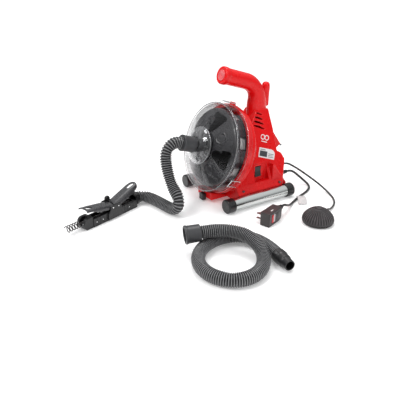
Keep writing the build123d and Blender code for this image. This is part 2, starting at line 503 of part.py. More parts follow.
npl = Plane(origin=tuple(b0), x_dir=(0, 0, 1), z_dir=tuple(noz_dir)).location
add("spare_hose_nozzle", npl * turned([(9, 0.0), (15.8, 0.0), (16.2, 2), (15.2, 4), (16.4, 6), (15.2, 8), (16.4, 10), (15.2, 12), (16.4, 14), (15.4, 17), (14.4, 30),
                                       (12.6, 33), (11.6, 48), (9.6, 48), (9.6, 34), (9, 30)]))
add("housing_screws", Compound(hs + clamps))
for sh in hs:
    for nm in ("housing_shell_right", "housing_shell_left"):
        parts[nm] = parts[nm] - sh
for sh in clamps:
    for nm in ("housing_shell_right", "housing_shell_left"):
        parts[nm] = parts[nm] - sh
for sh in clamps:
    for nm in ("skid_tube_right", "skid_tube_left"):
        parts[nm] = parts[nm] - sh

for name, shape in parts.items():
    sol = shape.solids()
    export_step(sol[0] if len(sol) == 1 else Compound(list(sol)), f"parts/{name}.step")
    print(f"{name}: {len(sol)} solids, volume {sum(q.volume for q in sol):.0f}")
print(len(parts), "nodes")
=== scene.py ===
import bpy
import bmesh
import json
import math
import numpy as np
from mathutils import Vector, Matrix

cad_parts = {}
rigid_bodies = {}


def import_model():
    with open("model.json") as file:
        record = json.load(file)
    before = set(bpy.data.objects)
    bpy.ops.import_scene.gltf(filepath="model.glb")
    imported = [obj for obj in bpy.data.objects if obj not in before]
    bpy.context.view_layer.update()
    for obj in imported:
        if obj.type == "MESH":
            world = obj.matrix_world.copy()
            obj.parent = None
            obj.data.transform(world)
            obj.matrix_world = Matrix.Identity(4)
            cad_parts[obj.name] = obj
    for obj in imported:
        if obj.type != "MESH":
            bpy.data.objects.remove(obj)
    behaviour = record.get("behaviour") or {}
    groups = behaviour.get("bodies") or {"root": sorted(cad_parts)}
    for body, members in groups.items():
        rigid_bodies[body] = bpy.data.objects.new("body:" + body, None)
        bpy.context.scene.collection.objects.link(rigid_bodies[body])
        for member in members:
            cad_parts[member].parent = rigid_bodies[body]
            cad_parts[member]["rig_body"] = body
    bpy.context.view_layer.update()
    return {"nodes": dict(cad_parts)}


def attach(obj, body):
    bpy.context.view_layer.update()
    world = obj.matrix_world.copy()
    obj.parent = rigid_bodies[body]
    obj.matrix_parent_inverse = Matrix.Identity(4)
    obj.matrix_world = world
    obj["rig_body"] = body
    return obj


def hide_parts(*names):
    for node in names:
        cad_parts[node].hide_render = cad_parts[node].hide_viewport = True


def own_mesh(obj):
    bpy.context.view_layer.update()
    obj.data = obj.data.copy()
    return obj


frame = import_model()
NODES = frame["nodes"]
MM = 0.001
BODY_OF = {n: o["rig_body"] for n, o in NODES.items()}

# ------------------------------------------------------------------ frames
C17, S17 = math.cos(math.radians(17)), math.sin(math.radians(17))
AX = Vector((0, -C17, S17))
UP = Vector((0, S17, C17))
RIM = Vector((0, -98, 152))


def basis(origin, x, y, z):
    """Local millimetres to the row frame in metres."""
    m = Matrix.Identity(4)
    for i, v in enumerate((x, y, z)):
        v = Vector(v).normalized()
        for k in range(3):
            m[k][i] = v[k] * MM
    for k in range(3):
        m[k][3] = origin[k] * MM
    return m


WORLD = basis((0, 0, 0), (1, 0, 0), (0, 1, 0), (0, 0, 1))
DL = basis(RIM, (1, 0, 0), UP, AX)
AFD = Vector((0.338, -0.941, 0)).normalized()
AFL = basis((-70, -298, 0), AFD, (-AFD.y, AFD.x, 0), (0, 0, 1))
PLD = Vector((-0.32, 0.947, 0)).normalized()
PLL = basis((205.9, -44.2, 0), PLD, (-PLD.y, PLD.x, 0), (0, 0, 1))
PX, PY = 271.3, 54.5
PEDL = basis((PX, PY, 0), (1, 0, 0), (0, 1, 0), (0, 0, 1))
rotY = lambda d: Matrix.Rotation(math.radians(d), 4, "Y")
rotZ = lambda d: Matrix.Rotation(math.radians(d), 4, "Z")
rotX = lambda d: Matrix.Rotation(math.radians(d), 4, "X")
pos = lambda x, y, z: Matrix.Translation((x, y, z))
LEV_ADV = AFL @ pos(88, 0, 33) @ rotY(-12)
LEV_RET = AFL @ pos(70, 0, 33) @ rotY(20) @ rotZ(180)


# ------------------------------------------------------------------ materials
def nd(t, kind, **kw):
    n = t.nodes.new(kind)
    for k, v in kw.items():
        if k in ("inputs",):
            for a, b in v.items():
                n.inputs[a].default_value = b
        else:
            setattr(n, k, v)
    return n


def surface(name, base, rough=0.4, metallic=0.0, var=0.12, var_scale=22.0, rough_var=0.08, grain=900.0,
            grain_h=0.00004, bevel=0.0, coat=0.0, coat_rough=0.08, spec=0.5, wave=0.0, stretch=None,
            speck=0.0, dust=0.0):
    """A moulded or machined surface: slow colour drift, roughness mottling, fine grain, rounded edges."""
    m = bpy.data.materials.new(name)
    m.use_nodes = True
    t = m.node_tree
    t.nodes.clear()
    out = nd(t, "ShaderNodeOutputMaterial")
    bs = nd(t, "ShaderNodeBsdfPrincipled")
    t.links.new(bs.outputs[0], out.inputs[0])
    bs.inputs["Metallic"].default_value = metallic
    bs.inputs["Coat Weight"].default_value = coat
    bs.inputs["Coat Roughness"].default_value = coat_rough
    bs.inputs["Specular IOR Level"].default_value = spec
    tc = nd(t, "ShaderNodeTexCoord")
    mp = nd(t, "ShaderNodeMapping")
    t.links.new(tc.outputs["Object"], mp.inputs["Vector"])
    if stretch:
        mp.inputs["Scale"].default_value = stretch
    slow = nd(t, "ShaderNodeTexNoise", inputs={"Scale": var_scale, "Detail": 5.0, "Roughness": 0.6})
    t.links.new(mp.outputs[0], slow.inputs["Vector"])
    ramp = nd(t, "ShaderNodeMapRange", inputs={"From Min": 0.3, "From Max": 0.7, "To Min": 1.0 - var, "To Max": 1.0 + var})
    t.links.new(slow.outputs["Fac"], ramp.inputs["Value"])
    mul = nd(t, "ShaderNodeVectorMath", operation="SCALE")
    mul.inputs[0].default_value = base[:3]
    t.links.new(ramp.outputs[0], mul.inputs["Scale"])
    colour = mul.outputs[0]
    if speck:
        sp = nd(t, "ShaderNodeTexNoise", inputs={"Scale": grain * 0.6, "Detail": 2.0})
        t.links.new(mp.outputs[0], sp.inputs["Vector"])
        sr = nd(t, "ShaderNodeMapRange", inputs={"From Min": 0.45, "From Max": 0.75, "To Min": 0.0, "To Max": speck})
        t.links.new(sp.outputs["Fac"], sr.inputs["Value"])
        mx = nd(t, "ShaderNodeMix", data_type="RGBA")
        mx.inputs["B"].default_value = (min(1, base[0] * 3 + 0.05), min(1, base[1] * 3 + 0.05), min(1, base[2] * 3 + 0.05), 1)
        t.links.new(sr.outputs[0], mx.inputs["Factor"])
        t.links.new(colour, mx.inputs["A"])
        colour = mx.outputs["Result"]
    t.links.new(colour, bs.inputs["Base Color"])
    rr = nd(t, "ShaderNodeMapRange", inputs={"From Min": 0.25, "From Max": 0.75, "To Min": max(0.02, rough - rough_var), "To Max": rough + rough_var})
    rn = nd(t, "ShaderNodeTexNoise", inputs={"Scale": var_scale * 3.1, "Detail": 6.0, "Roughness": 0.65})
    t.links.new(mp.outputs[0], rn.inputs["Vector"])
    t.links.new(rn.outputs["Fac"], rr.inputs["Value"])
    t.links.new(rr.outputs[0], bs.inputs["Roughness"])
    normal = None
    if bevel:
        bv = nd(t, "ShaderNodeBevel", samples=4, inputs={"Radius": bevel})
        normal = bv.outputs[0]
    gn = nd(t, "ShaderNodeTexNoise", inputs={"Scale": grain, "Detail": 3.0, "Roughness": 0.55})
    t.links.new(mp.outputs[0], gn.inputs["Vector"])
    bp = nd(t, "ShaderNodeBump", inputs={"Strength": 0.6, "Distance": grain_h})
    t.links.new(gn.outputs["Fac"], bp.inputs["Height"])
    if normal is not None:
        t.links.new(normal, bp.inputs["Normal"])
    last = bp
    if wave:
        wn = nd(t, "ShaderNodeTexNoise", inputs={"Scale": 14.0, "Detail": 1.0})
        t.links.new(mp.outputs[0], wn.inputs["Vector"])
        wb = nd(t, "ShaderNodeBump", inputs={"Strength": 0.5, "Distance": wave})
        t.links.new(wn.outputs["Fac"], wb.inputs["Height"])
        t.links.new(bp.outputs[0], wb.inputs["Normal"])
        last = wb
    t.links.new(last.outputs[0], bs.inputs["Normal"])
    m.diffuse_color = (*base[:3], 1)
    return m


def clear(name, tint, face, edge, rough=0.03, wave=0.0004, power=3.0):
    """Clear moulded plastic: see-through face on, with reflections that grow towards grazing angles."""
    m = bpy.data.materials.new(name)
    m.use_nodes = True
    t = m.node_tree
    t.nodes.clear()
    out = nd(t, "ShaderNodeOutputMaterial")
    bs = nd(t, "ShaderNodeBsdfPrincipled")
    t.links.new(bs.outputs[0], out.inputs[0])
    bs.inputs["Metallic"].default_value = 1.0
    tc = nd(t, "ShaderNodeTexCoord")
    n1 = nd(t, "ShaderNodeTexNoise", inputs={"Scale": 18.0, "Detail": 4.0})
    t.links.new(tc.outputs["Object"], n1.inputs["Vector"])
    mr = nd(t, "ShaderNodeMapRange", inputs={"From Min": 0.3, "From Max": 0.7, "To Min": 0.93, "To Max": 1.0})
    t.links.new(n1.outputs["Fac"], mr.inputs["Value"])
    sc = nd(t, "ShaderNodeVectorMath", operation="SCALE")
    sc.inputs[0].default_value = tint
    t.links.new(mr.outputs[0], sc.inputs["Scale"])
    t.links.new(sc.outputs[0], bs.inputs["Base Color"])
    rm = nd(t, "ShaderNodeMapRange", inputs={"From Min": 0.3, "From Max": 0.7, "To Min": rough, "To Max": rough * 2.5})
    t.links.new(n1.outputs["Fac"], rm.inputs["Value"])
    t.links.new(rm.outputs[0], bs.inputs["Roughness"])
    lw = nd(t, "ShaderNodeLayerWeight", inputs={"Blend": 0.5})
    pw = nd(t, "ShaderNodeMath", operation="POWER")
    pw.inputs[1].default_value = power
    t.links.new(lw.outputs["Facing"], pw.inputs[0])
    am = nd(t, "ShaderNodeMapRange", inputs={"From Min": 0.0, "From Max": 1.0, "To Min": face, "To Max": edge})
    t.links.new(pw.outputs[0], am.inputs["Value"])
    t.links.new(am.outputs[0], bs.inputs["Alpha"])
    b1 = nd(t, "ShaderNodeBump", inputs={"Strength": 0.35, "Distance": wave})
    t.links.new(n1.outputs["Fac"], b1.inputs["Height"])
    t.links.new(b1.outputs[0], bs.inputs["Normal"])
    m.diffuse_color = (*tint, 0.3)
    return m


def ribbed(name, groove_shade, crest_highlight, rough):
    """Corrugated plastic: painted shade darkens the grooves and a painted highlight makes the crests paler."""
    m = surface(name, crest_highlight, rough=rough, var=0.1, var_scale=30, grain=1400, grain_h=0.00003, spec=0.5)
    t = m.node_tree
    bs = next(n for n in t.nodes if n.type == "BSDF_PRINCIPLED")
    # the rib attribute (1 on the crests) mixes the painted groove shade into the crest's painted highlight colour
    at = nd(t, "ShaderNodeAttribute", attribute_name="rib")
    src = bs.inputs["Base Color"].links[0].from_socket
    mx = nd(t, "ShaderNodeMix", data_type="RGBA")
    mx.inputs["A"].default_value = (*groove_shade, 1)
    pw = nd(t, "ShaderNodeMath", operation="POWER")
    pw.inputs[1].default_value = 4.0
    t.links.new(at.outputs["Fac"], pw.inputs[0])
    t.links.new(pw.outputs[0], mx.inputs["Factor"])
    t.links.new(src, mx.inputs["B"])
    t.links.new(mx.outputs["Result"], bs.inputs["Base Color"])
    return m


RED = surface("red_moulded", (0.68, 0.0045, 0.006), rough=0.28, var=0.04, var_scale=9, rough_var=0.05, grain=1500, grain_h=0.00001, coat=0.04, coat_rough=0.08, spec=0.24)
RED_RING = surface("red_ring", (0.58, 0.006, 0.009), rough=0.28, var=0.05, var_scale=12, grain=1500, grain_h=0.00001, coat=0.1, bevel=0.0006, spec=0.35)
# lighter, pinkish red for the grip's end disc: a painted highlight on the red plastic
REDEND_HIGHLIGHT = surface("red_grip_end_highlight", (0.72, 0.10, 0.11), rough=0.22, var=0.05, var_scale=30, grain=1500, grain_h=0.00001, coat=0.3, spec=0.5)
CHROME = surface("chrome_tube", (0.61, 0.64, 0.63), rough=0.17, metallic=1.0, var=0.05, var_scale=30, rough_var=0.05, grain=300, grain_h=0.000001, stretch=(1, 0.04, 1))
WIRE = surface("chrome_wire", (0.74, 0.74, 0.75), rough=0.16, metallic=1.0, var=0.05, var_scale=80, grain=700, grain_h=0.00001, bevel=0.0003)
STEEL = surface("machined_steel", (0.42, 0.42, 0.42), rough=0.32, metallic=1.0, var=0.1, var_scale=40, grain=700, grain_h=0.00002, bevel=0.0004)
DARKSTEEL = surface("dark_steel", (0.14, 0.14, 0.145), rough=0.38, metallic=0.9, var=0.12, var_scale=40, grain=700, grain_h=0.00002, bevel=0.0004)
COILSTEEL = surface("wound_steel", (0.62, 0.62, 0.62), rough=0.34, metallic=0.7, var=0.18, var_scale=160, grain=900, grain_h=0.00005)
SPRING = surface("spring_steel", (0.07, 0.066, 0.066), rough=0.34, metallic=1.0, var=0.15, var_scale=120, grain=1200, grain_h=0.00002)
BLACK = surface("black_moulded", (0.009, 0.009, 0.010), rough=0.33, var=0.18, var_scale=25, grain=1200, grain_h=0.00003, bevel=0.0006)
DRUMBLACK = surface("drum_black", (0.026, 0.026, 0.029), rough=0.27, var=0.08, var_scale=9, rough_var=0.03, grain=1500, grain_h=0.000006, coat=0.15)
# near-black, dull material for a sheet that paints the shade inside the drum
DRUM_SHADE_SHEET = surface("drum_shade_sheet_black", (0.003, 0.003, 0.003), rough=0.7, var=0.2, var_scale=30, grain=900, grain_h=0.00003, spec=0.1)
CAPBLACK = surface("cap_black", (0.008, 0.008, 0.009), rough=0.3, var=0.2, var_scale=40, grain=1500, grain_h=0.00004)
FEEDBLACK = surface("autofeed_black", (0.008, 0.008, 0.009), rough=0.3, var=0.2, var_scale=35, grain=1600, grain_h=0.00005, speck=0.02, spec=0.45)
LEVERBLACK = surface("lever_black", (0.042, 0.042, 0.045), rough=0.27, var=0.15, var_scale=35, grain=1600, grain_h=0.00004, coat=0.1)
CUFFGREY = surface("cuff_grey", (0.034, 0.035, 0.038), rough=0.4, var=0.12, var_scale=35, grain=1500, grain_h=0.00005, speck=0.04)
NOZZLE = surface("nozzle_black", (0.010, 0.010, 0.011), rough=0.34, var=0.15, var_scale=45, grain=1500, grain_h=0.00004)
# hoses: the dark groove colour is painted shade, the pale crest colour a painted highlight
HOSE = ribbed("hose_corrugated", (0.004, 0.004, 0.005), (0.22, 0.222, 0.228), 0.30)
HOSE2 = ribbed("spare_hose_corrugated", (0.004, 0.004, 0.005), (0.24, 0.242, 0.249), 0.30)
CORD = surface("cord_jacket", (0.012, 0.012, 0.012), rough=0.42, var=0.2, var_scale=60, grain=1800, grain_h=0.00003)
AIRHOSE = surface("air_hose_jacket", (0.014, 0.013, 0.012), rough=0.34, var=0.2, var_scale=60, grain=1800, grain_h=0.00002)
# pedal dome ribs: painted groove shade and painted crest highlight, as on the hoses
RUBBER = ribbed("pedal_rubber", (0.012, 0.010, 0.011), (0.085, 0.074, 0.078), 0.5)
RUBBER_PLAIN = surface("pedal_base_rubber", (0.022, 0.019, 0.020), rough=0.55, var=0.16, var_scale=45, grain=1600, grain_h=0.00008, spec=0.35)
RUBBER_TOP = surface("pedal_top_rubber", (0.055, 0.048, 0.051), rough=0.6, var=0.14, var_scale=60, grain=1600, grain_h=0.00008, speck=0.05, spec=0.35)
PLUG = surface("plug_moulded", (0.022, 0.018, 0.019), rough=0.38, var=0.12, var_scale=60, grain=1900, grain_h=0.00005, speck=0.04)
RBUTTON = surface("reset_red", (0.62, 0.03, 0.035), rough=0.35, var=0.06, var_scale=90, grain=1900, grain_h=0.00002, bevel=0.0004)
GBUTTON = surface("test_grey", (0.42, 0.41, 0.42), rough=0.4, var=0.06, var_scale=90, grain=1900, grain_h=0.00002, bevel=0.0004)
BRASS = surface("pin_metal", (0.20, 0.13, 0.12), rough=0.28, metallic=1.0, var=0.1, var_scale=120, grain=1500, grain_h=0.00001, bevel=0.0003)
PAPER = surface("tag_paper", (0.56, 0.55, 0.55), rough=0.75, var=0.06, var_scale=70, grain=2200, grain_h=0.00004)
LABEL = surface("label_white", (0.74, 0.74, 0.75), rough=0.42, var=0.04, var_scale=60, grain=2200, grain_h=0.00001)
LABELDARK = surface("label_dark", (0.03, 0.034, 0.042), rough=0.4, var=0.2, var_scale=150, grain=2200, grain_h=0.00001)
PRINT = surface("print_white", (0.80, 0.79, 0.78), rough=0.45, var=0.03, var_scale=100, grain=2200, grain_h=0.00001)
NYLON = surface("gear_nylon", (0.58, 0.56, 0.50), rough=0.45, var=0.08, var_scale=50, grain=1500, grain_h=0.00003, bevel=0.0003)
COPPER = surface("motor_windings", (0.38, 0.17, 0.08), rough=0.35, metallic=0.8, var=0.2, var_scale=300, grain=1500, grain_h=0.00005)
GLASS = clear("clear_cover_plastic", (0.30, 0.30, 0.31), 0.02, 0.95, power=2.6, wave=0.00012)
GLASS2 = clear("clear_nose_plastic", (0.90, 0.91, 0.925), 0.03, 0.9, rough=0.03, wave=0.0014, power=2.4)
EDGE = clear("clear_rim_edge", (0.30, 0.31, 0.33), 0.7, 0.95, rough=0.08, power=1.5)
# whitish clear material for the bead pieces: a painted highlight on the clear cover's rims and hub
BEAD_HIGHLIGHT = clear("clear_rim_bead_highlight", (0.80, 0.805, 0.815), 0.24, 0.75, rough=0.16, power=1.7)


# ------------------------------------------------------------------ mesh helpers
def finish_piece(o, mat, body, replaces=(), sharp=None):
    for p in o.data.polygons:
        p.use_smooth = True
    if sharp is not None:
        o.data.set_sharp_from_angle(angle=math.radians(sharp))
    o.data.materials.clear()
    o.data.materials.append(mat)
    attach(o, body)
    if replaces:
        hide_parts(*replaces)
    return o


def new_obj(name, verts, faces):
    me = bpy.data.meshes.new(name)
    me.from_pydata([tuple(v) for v in verts], [], faces)
    me.update()
    bm = bmesh.new()
    bm.from_mesh(me)
    bmesh.ops.recalc_face_normals(bm, faces=bm.faces)
    bm.to_mesh(me)
    bm.free()
    o = bpy.data.objects.new(name, me)
    bpy.context.scene.collection.objects.link(o)
    return o


def apply_mods(o):
    bpy.context.view_layer.update()
    dg = bpy.context.evaluated_depsgraph_get()
    me = bpy.data.meshes.new_from_object(o.evaluated_get(dg), depsgraph=dg)
    o.modifiers.clear()
    old = o.data
    o.data = me
    bpy.data.meshes.remove(old)
    return o


def add_mod(o, kind, **kw):
    m = o.modifiers.new(kind.lower(), kind)
    for k, v in kw.items():
        setattr(m, k, v)
    return m


def lathe(name, prof, M, n=72, closed=True):
    """A (radius, station) outline turned about local Z."""
    verts, faces, rings = [], [], []
    for r, z in prof:
        if r < 1e-6:
            rings.append([len(verts)])
            verts.append(M @ Vector((0, 0, z)))
        else:
            rings.append(list(range(len(verts), len(verts) + n)))
            for k in range(n):
                a = 2 * math.pi * k / n
                verts.append(M @ Vector((r * math.cos(a), r * math.sin(a), z)))
    k_end = len(prof) if closed else len(prof) - 1
    for i in range(k_end):
        A, B = rings[i], rings[(i + 1) % len(prof)]
        if len(A) == 1 and len(B) == 1:
            continue
        for k in range(n):
            k2 = (k + 1) % n
            if len(A) == 1:
                faces.append((A[0], B[k2], B[k]))
            elif len(B) == 1:
                faces.append((A[k], A[k2], B[0]))
            else:
                faces.append((A[k], A[k2], B[k2], B[k]))
    return new_obj(name, verts, faces)


def box_obj(name, x0, x1, y0, y1, z0, z1, M, bevel=0.0, seg=3):
    v = [Vector((x, y, z)) for x in (x0, x1) for y in (y0, y1) for z in (z0, z1)]
    f = [(0, 1, 3, 2), (4, 6, 7, 5), (0, 4, 5, 1), (2, 3, 7, 6), (0, 2, 6, 4), (1, 5, 7, 3)]
    o = new_obj(name, v, f)
    if bevel:
        add_mod(o, "BEVEL", width=bevel, segments=seg, limit_method="ANGLE")
        apply_mods(o)
    o.data.transform(M)
    if M.determinant() < 0:
        o.data.flip_normals()
    return o


def join(objs, name):
    """Several closed meshes in one object."""
    verts, faces = [], []
    for o in objs:
        k = len(verts)
        verts += [o.matrix_world @ v.co for v in o.data.vertices]
        faces += [tuple(i + k for i in p.vertices) for p in o.data.polygons]
    for o in objs:
        me = o.data
        bpy.data.objects.remove(o)
        bpy.data.meshes.remove(me)
    return new_obj_raw(name, verts, faces)


def new_obj_raw(name, verts, faces):
    me = bpy.data.meshes.new(name)
    me.from_pydata([tuple(v) for v in verts], [], faces)
    me.update()
    o = bpy.data.objects.new(name, me)
    bpy.context.scene.collection.objects.link(o)
    return o


def cad_copy(name, node):
    """A welded copy of a CAD node's mesh, as a new object."""
    me = NODES[node].data.copy()
    bm = bmesh.new()
    bm.from_mesh(me)
    bmesh.ops.remove_doubles(bm, verts=bm.verts, dist=0.000005)
    bm.to_mesh(me)
    bm.free()
    me.materials.clear()
    o = bpy.data.objects.new(name, me)
    bpy.context.scene.collection.objects.link(o)
    return o


def moulded(o, voxel, smooth, factor=0.5):
    """Turns a hard-edged closed mesh into a moulded one with rounded edges."""
    add_mod(o, "REMESH", mode="VOXEL", voxel_size=voxel * MM, adaptivity=0.0, use_smooth_shade=True)
    if smooth:
        add_mod(o, "SMOOTH", factor=factor, iterations=smooth)
    apply_mods(o)
    return o


def cut(o, cutters, op="DIFFERENCE"):
    for c in cutters:
        add_mod(o, "BOOLEAN", object=c, operation=op, solver="EXACT")
    apply_mods(o)
    for c in cutters:
        me = c.data
        bpy.data.objects.remove(c)
        bpy.data.meshes.remove(me)
    return o


def refine(node, mat, voxel, smooth, name=None):
    o = cad_copy(name or node + "_moulded", node)
    moulded(o, voxel, smooth)
    return finish_piece(o, mat, BODY_OF[node], (node,))


def paint(node, mat, sharp=30):
    o = NODES[node]
    o.data.materials.clear()
    o.data.materials.append(mat)
    return o


def nurbs(name, pts):
    cu = bpy.data.curves.new(name, "CURVE")
    cu.dimensions = "3D"
    sp = cu.splines.new("NURBS")
    sp.points.add(len(pts) - 1)
    for p, q in zip(sp.points, pts):
        p.co = (*q, 1.0)
    sp.order_u = 3
    sp.use_endpoint_u = True
    cu.resolution_u = 16
    o = bpy.data.objects.new(name, cu)
    bpy.context.scene.collection.objects.link(o)
    return o


def read_line(pts):
    """Points along the smooth line of a route."""
    o = nurbs("route_tmp", pts)
    me = bpy.data.meshes.new_from_object(o)
    line = np.array([v.co for v in me.vertices], float)
    bpy.data.meshes.remove(me)
    cu = o.data
    bpy.data.objects.remove(o)
    bpy.data.curves.remove(cu)
    return line


def even(line, step):
    d = np.concatenate([[0], np.cumsum(np.linalg.norm(np.diff(line, axis=0), axis=1))])
    n = max(3, int(round(d[-1] / step)) + 1)
    at = np.linspace(0, d[-1], n)
    return np.stack([np.interp(at, d, line[:, k]) for k in range(3)], axis=1), at


def frames_along(P):
    T = np.gradient(P, axis=0)
    T /= np.linalg.norm(T, axis=1)[:, None]
    N = np.zeros_like(P)
    ref = np.array([0, 0, 1.0]) if abs(T[0][2]) < 0.9 else np.array([1.0, 0, 0])
    n = np.cross(T[0], ref)
    n /= np.linalg.norm(n)
    N[0] = n
    for i in range(1, len(P)):
        n = n - (n @ T[i]) * T[i]
        n /= np.linalg.norm(n)
        N[i] = n
    return T, N, np.cross(T, N)


def corrugated(name, pts, r_out, r_in, pitch, mat, body, replaces, per=8, nseg=36, wall=1.3):
    """A corrugated hose along a route: rounded crests and narrower grooves, open bore, closed walls."""
    line = read_line(pts)
    length = float(np.linalg.norm(np.diff(line, axis=0), axis=1).sum())
    nr = int(round(length / (pitch * MM)))
    P, at = even(line, length / (nr * per))
    T, N, B = frames_along(P)
    verts, faces, rib = [], [], []
    ph = at / length * nr
    w = 0.5 + 0.5 * np.cos(2 * math.pi * ph)
    w = np.clip(w * 1.08, 0, 1) ** 1.25
    w[0] = w[-1] = 0.3
    ang = np.linspace(0, 2 * math.pi, nseg, endpoint=False)
    for i in range(len(P)):
        r = (r_in + (r_out - r_in) * w[i]) * MM
        for a in ang:
            verts.append(P[i] + r * (math.cos(a) * N[i] + math.sin(a) * B[i]))
            rib.append(w[i])
    n = len(P)
    for i in range(n - 1):
        for k in range(nseg):
            k2 = (k + 1) % nseg
            faces.append((i * nseg + k, i * nseg + k2, (i + 1) * nseg + k2, (i + 1) * nseg + k))
    # inner wall, coarser
    inner = list(range(0, n, per // 2))
    if inner[-1] != n - 1:
        inner.append(n - 1)
    k0 = len(verts)
    for i in inner:
        r = (r_in - wall) * MM
        for a in ang:
            verts.append(P[i] + r * (math.cos(a) * N[i] + math.sin(a) * B[i]))
            rib.append(0.0)
    for j in range(len(inner) - 1):
        for k in range(nseg):
            k2 = (k + 1) % nseg
            faces.append((k0 + j * nseg + k, k0 + (j + 1) * nseg + k, k0 + (j + 1) * nseg + k2, k0 + j * nseg + k2))
    last = (n - 1) * nseg
    li = k0 + (len(inner) - 1) * nseg
    for k in range(nseg):
        k2 = (k + 1) % nseg
        faces.append((k, k0 + k, k0 + k2, k2))
        faces.append((last + k, last + k2, li + k2, li + k))
    o = new_obj(name, verts, faces)
    # the rib attribute carries the crest profile that the hose material turns into painted groove shade and crest
    # highlight
    at_ = o.data.attributes.new("rib", "FLOAT", "POINT")
    at_.data.foreach_set("value", np.array(rib, np.float32))
    finish_piece(o, mat, body, replaces)
    return o, line, length


# ------------------------------------------------------------------ camera, light, floor
a_, e_ = math.radians(57.79), math.radians(24.98)
r_ = Vector((math.cos(a_), math.sin(a_), 0))
back_ = Vector((math.sin(a_) * math.cos(e_), -math.cos(a_) * math.cos(e_), math.sin(e_)))
up_ = back_.cross(r_)
cam = bpy.data.cameras.new("camera")
cam.sensor_width = 36
cam.lens = 40.5
cam.clip_end = 200
cam_o = bpy.data.objects.new("camera", cam)
M = Matrix.Identity(4)
for k in range(3):
    M[k][0], M[k][1], M[k][2] = r_[k], up_[k], back_[k]
M[0][3], M[1][3], M[2][3] = 0.96769, -0.73637, 0.5341
cam_o.matrix_world = M
bpy.context.scene.collection.objects.link(cam_o)
bpy.context.scene.camera = cam_o
bpy.context.scene.view_settings.view_transform = "Standard"

world = bpy.data.worlds.new("studio")
bpy.context.scene.world = world
world.use_nodes = True
wt = world.node_tree
wt.nodes.clear()
wo = nd(wt, "ShaderNodeOutputWorld")
bg = nd(wt, "ShaderNodeBackground")
wc = nd(wt, "ShaderNodeTexCoord")
ws = nd(wt, "ShaderNodeSeparateXYZ")
wr = nd(wt, "ShaderNodeValToRGB")
wr.color_ramp.elements[0].position = 0.0
wr.color_ramp.elements[0].color = (0.85, 0.85, 0.86, 1)
wr.color_ramp.elements[1].position = 1.0
wr.color_ramp.elements[1].color = (1.0, 1.0, 1.0, 1)
for p_, c_ in ((0.50, 0.55), (0.55, 0.30), (0.63, 0.30), (0.68, 0.55), (0.80, 0.85)):
    el = wr.color_ramp.elements.new(p_)
    el.color = (c_, c_, c_ * 1.01, 1)
wm = nd(wt, "ShaderNodeMapRange", inputs={"From Min": -1.0, "From Max": 1.0})
wt.links.new(wc.outputs["Generated"], ws.inputs[0])
wt.links.new(ws.outputs["Z"], wm.inputs["Value"])
wt.links.new(wm.outputs[0], wr.inputs["Fac"])
wt.links.new(wr.outputs["Color"], bg.inputs["Color"])
bg.inputs["Strength"].default_value = 0.92
wt.links.new(bg.outputs[0], wo.inputs[0])


def area(name, loc, target, size, size_y, power):
    l = bpy.data.lights.new(name, "AREA")
    l.shape = "RECTANGLE"
    l.size, l.size_y, l.energy = size, size_y, power
    o = bpy.data.objects.new(name, l)
    o.location = loc
    o.rotation_mode = "QUATERNION"
    o.rotation_quaternion = (Vector(target) - Vector(loc)).to_track_quat("-Z", "Y")
    bpy.context.scene.collection.objects.link(o)
    return o


area("key_soft", (0.1, -1.7, 2.0), (0.05, -0.1, 0.12), 0.8, 0.6, 24)
area("top_soft", (-0.5, 0.3, 2.2), (0.0, -0.05, 0.1), 1.2, 0.9, 20)
area("side_strip", (2.0, 0.3, 0.9), (0.0, 0.0, 0.12), 0.25, 1.4, 9)

fl = new_obj("floor", [(-60, -60, 0), (60, -60, 0), (60, 60, 0), (-60, 60, 0)], [(0, 1, 2, 3)])
FLOOR = surface("floor_white", (0.93, 0.93, 0.93), rough=0.6, var=0.012, var_scale=0.7, grain=200, grain_h=0.00001, spec=0.25)
fb = next(n for n in FLOOR.node_tree.nodes if n.type == "BSDF_PRINCIPLED")
# the sweep grows brighter away from the object, where the lamps don't reach
ft = FLOOR.node_tree
fc = nd(ft, "ShaderNodeTexCoord")
fd = nd(ft, "ShaderNodeVectorMath", operation="LENGTH")
ft.links.new(fc.outputs["Object"], fd.inputs[0])
fm = nd(ft, "ShaderNodeMapRange", inputs={"From Min": 1.3, "From Max": 2.9, "To Min": 0.17, "To Max": 0.42})
ft.links.new(fd.outputs["Value"], fm.inputs["Value"])
ft.links.new(fm.outputs[0], fb.inputs["Emission Color"])
fb.inputs["Emission Strength"].default_value = 1.0
fl.data.materials.append(FLOOR)

# ------------------------------------------------------------------ cords
GUIDE = [(0.0, -0.18407, 0.17831), (0.0, -0.19937, 0.18299), (0.001, -0.219, 0.1765), (0.002, -0.231, 0.16), (0.005, -0.233, 0.137),
         (0.01, -0.2315, 0.112), (0.018, -0.229, 0.088), (0.032, -0.227, 0.069), (0.053, -0.226, 0.056), (0.06, -0.2285, 0.0375),
         (0.05, -0.2325, 0.0215), (0.033, -0.2355, 0.016), (0.012, -0.239, 0.0157), (-0.01, -0.242, 0.0157), (-0.032, -0.246, 0.016),
         (-0.054, -0.252, 0.017), (-0.0705, -0.263, 0.0185), (-0.0765, -0.28, 0.02), (-0.07, -0.298, 0.02)]
MAINS = [(0.056, 0.14, 0.051), (0.056, 0.153, 0.051), (0.057, 0.169, 0.043), (0.06, 0.186, 0.028), (0.068, 0.201, 0.0135),
         (0.083, 0.207, 0.0034), (0.102, 0.193, 0.0033), (0.117, 0.17, 0.0033), (0.126, 0.146, 0.0033), (0.134, 0.121, 0.0033),
         (0.146, 0.095, 0.0033), (0.158, 0.071, 0.0036), (0.171, 0.049, 0.009), (0.181, 0.029, 0.019), (0.18541, 0.01643, 0.025),
         (0.18925, 0.00506, 0.025)]
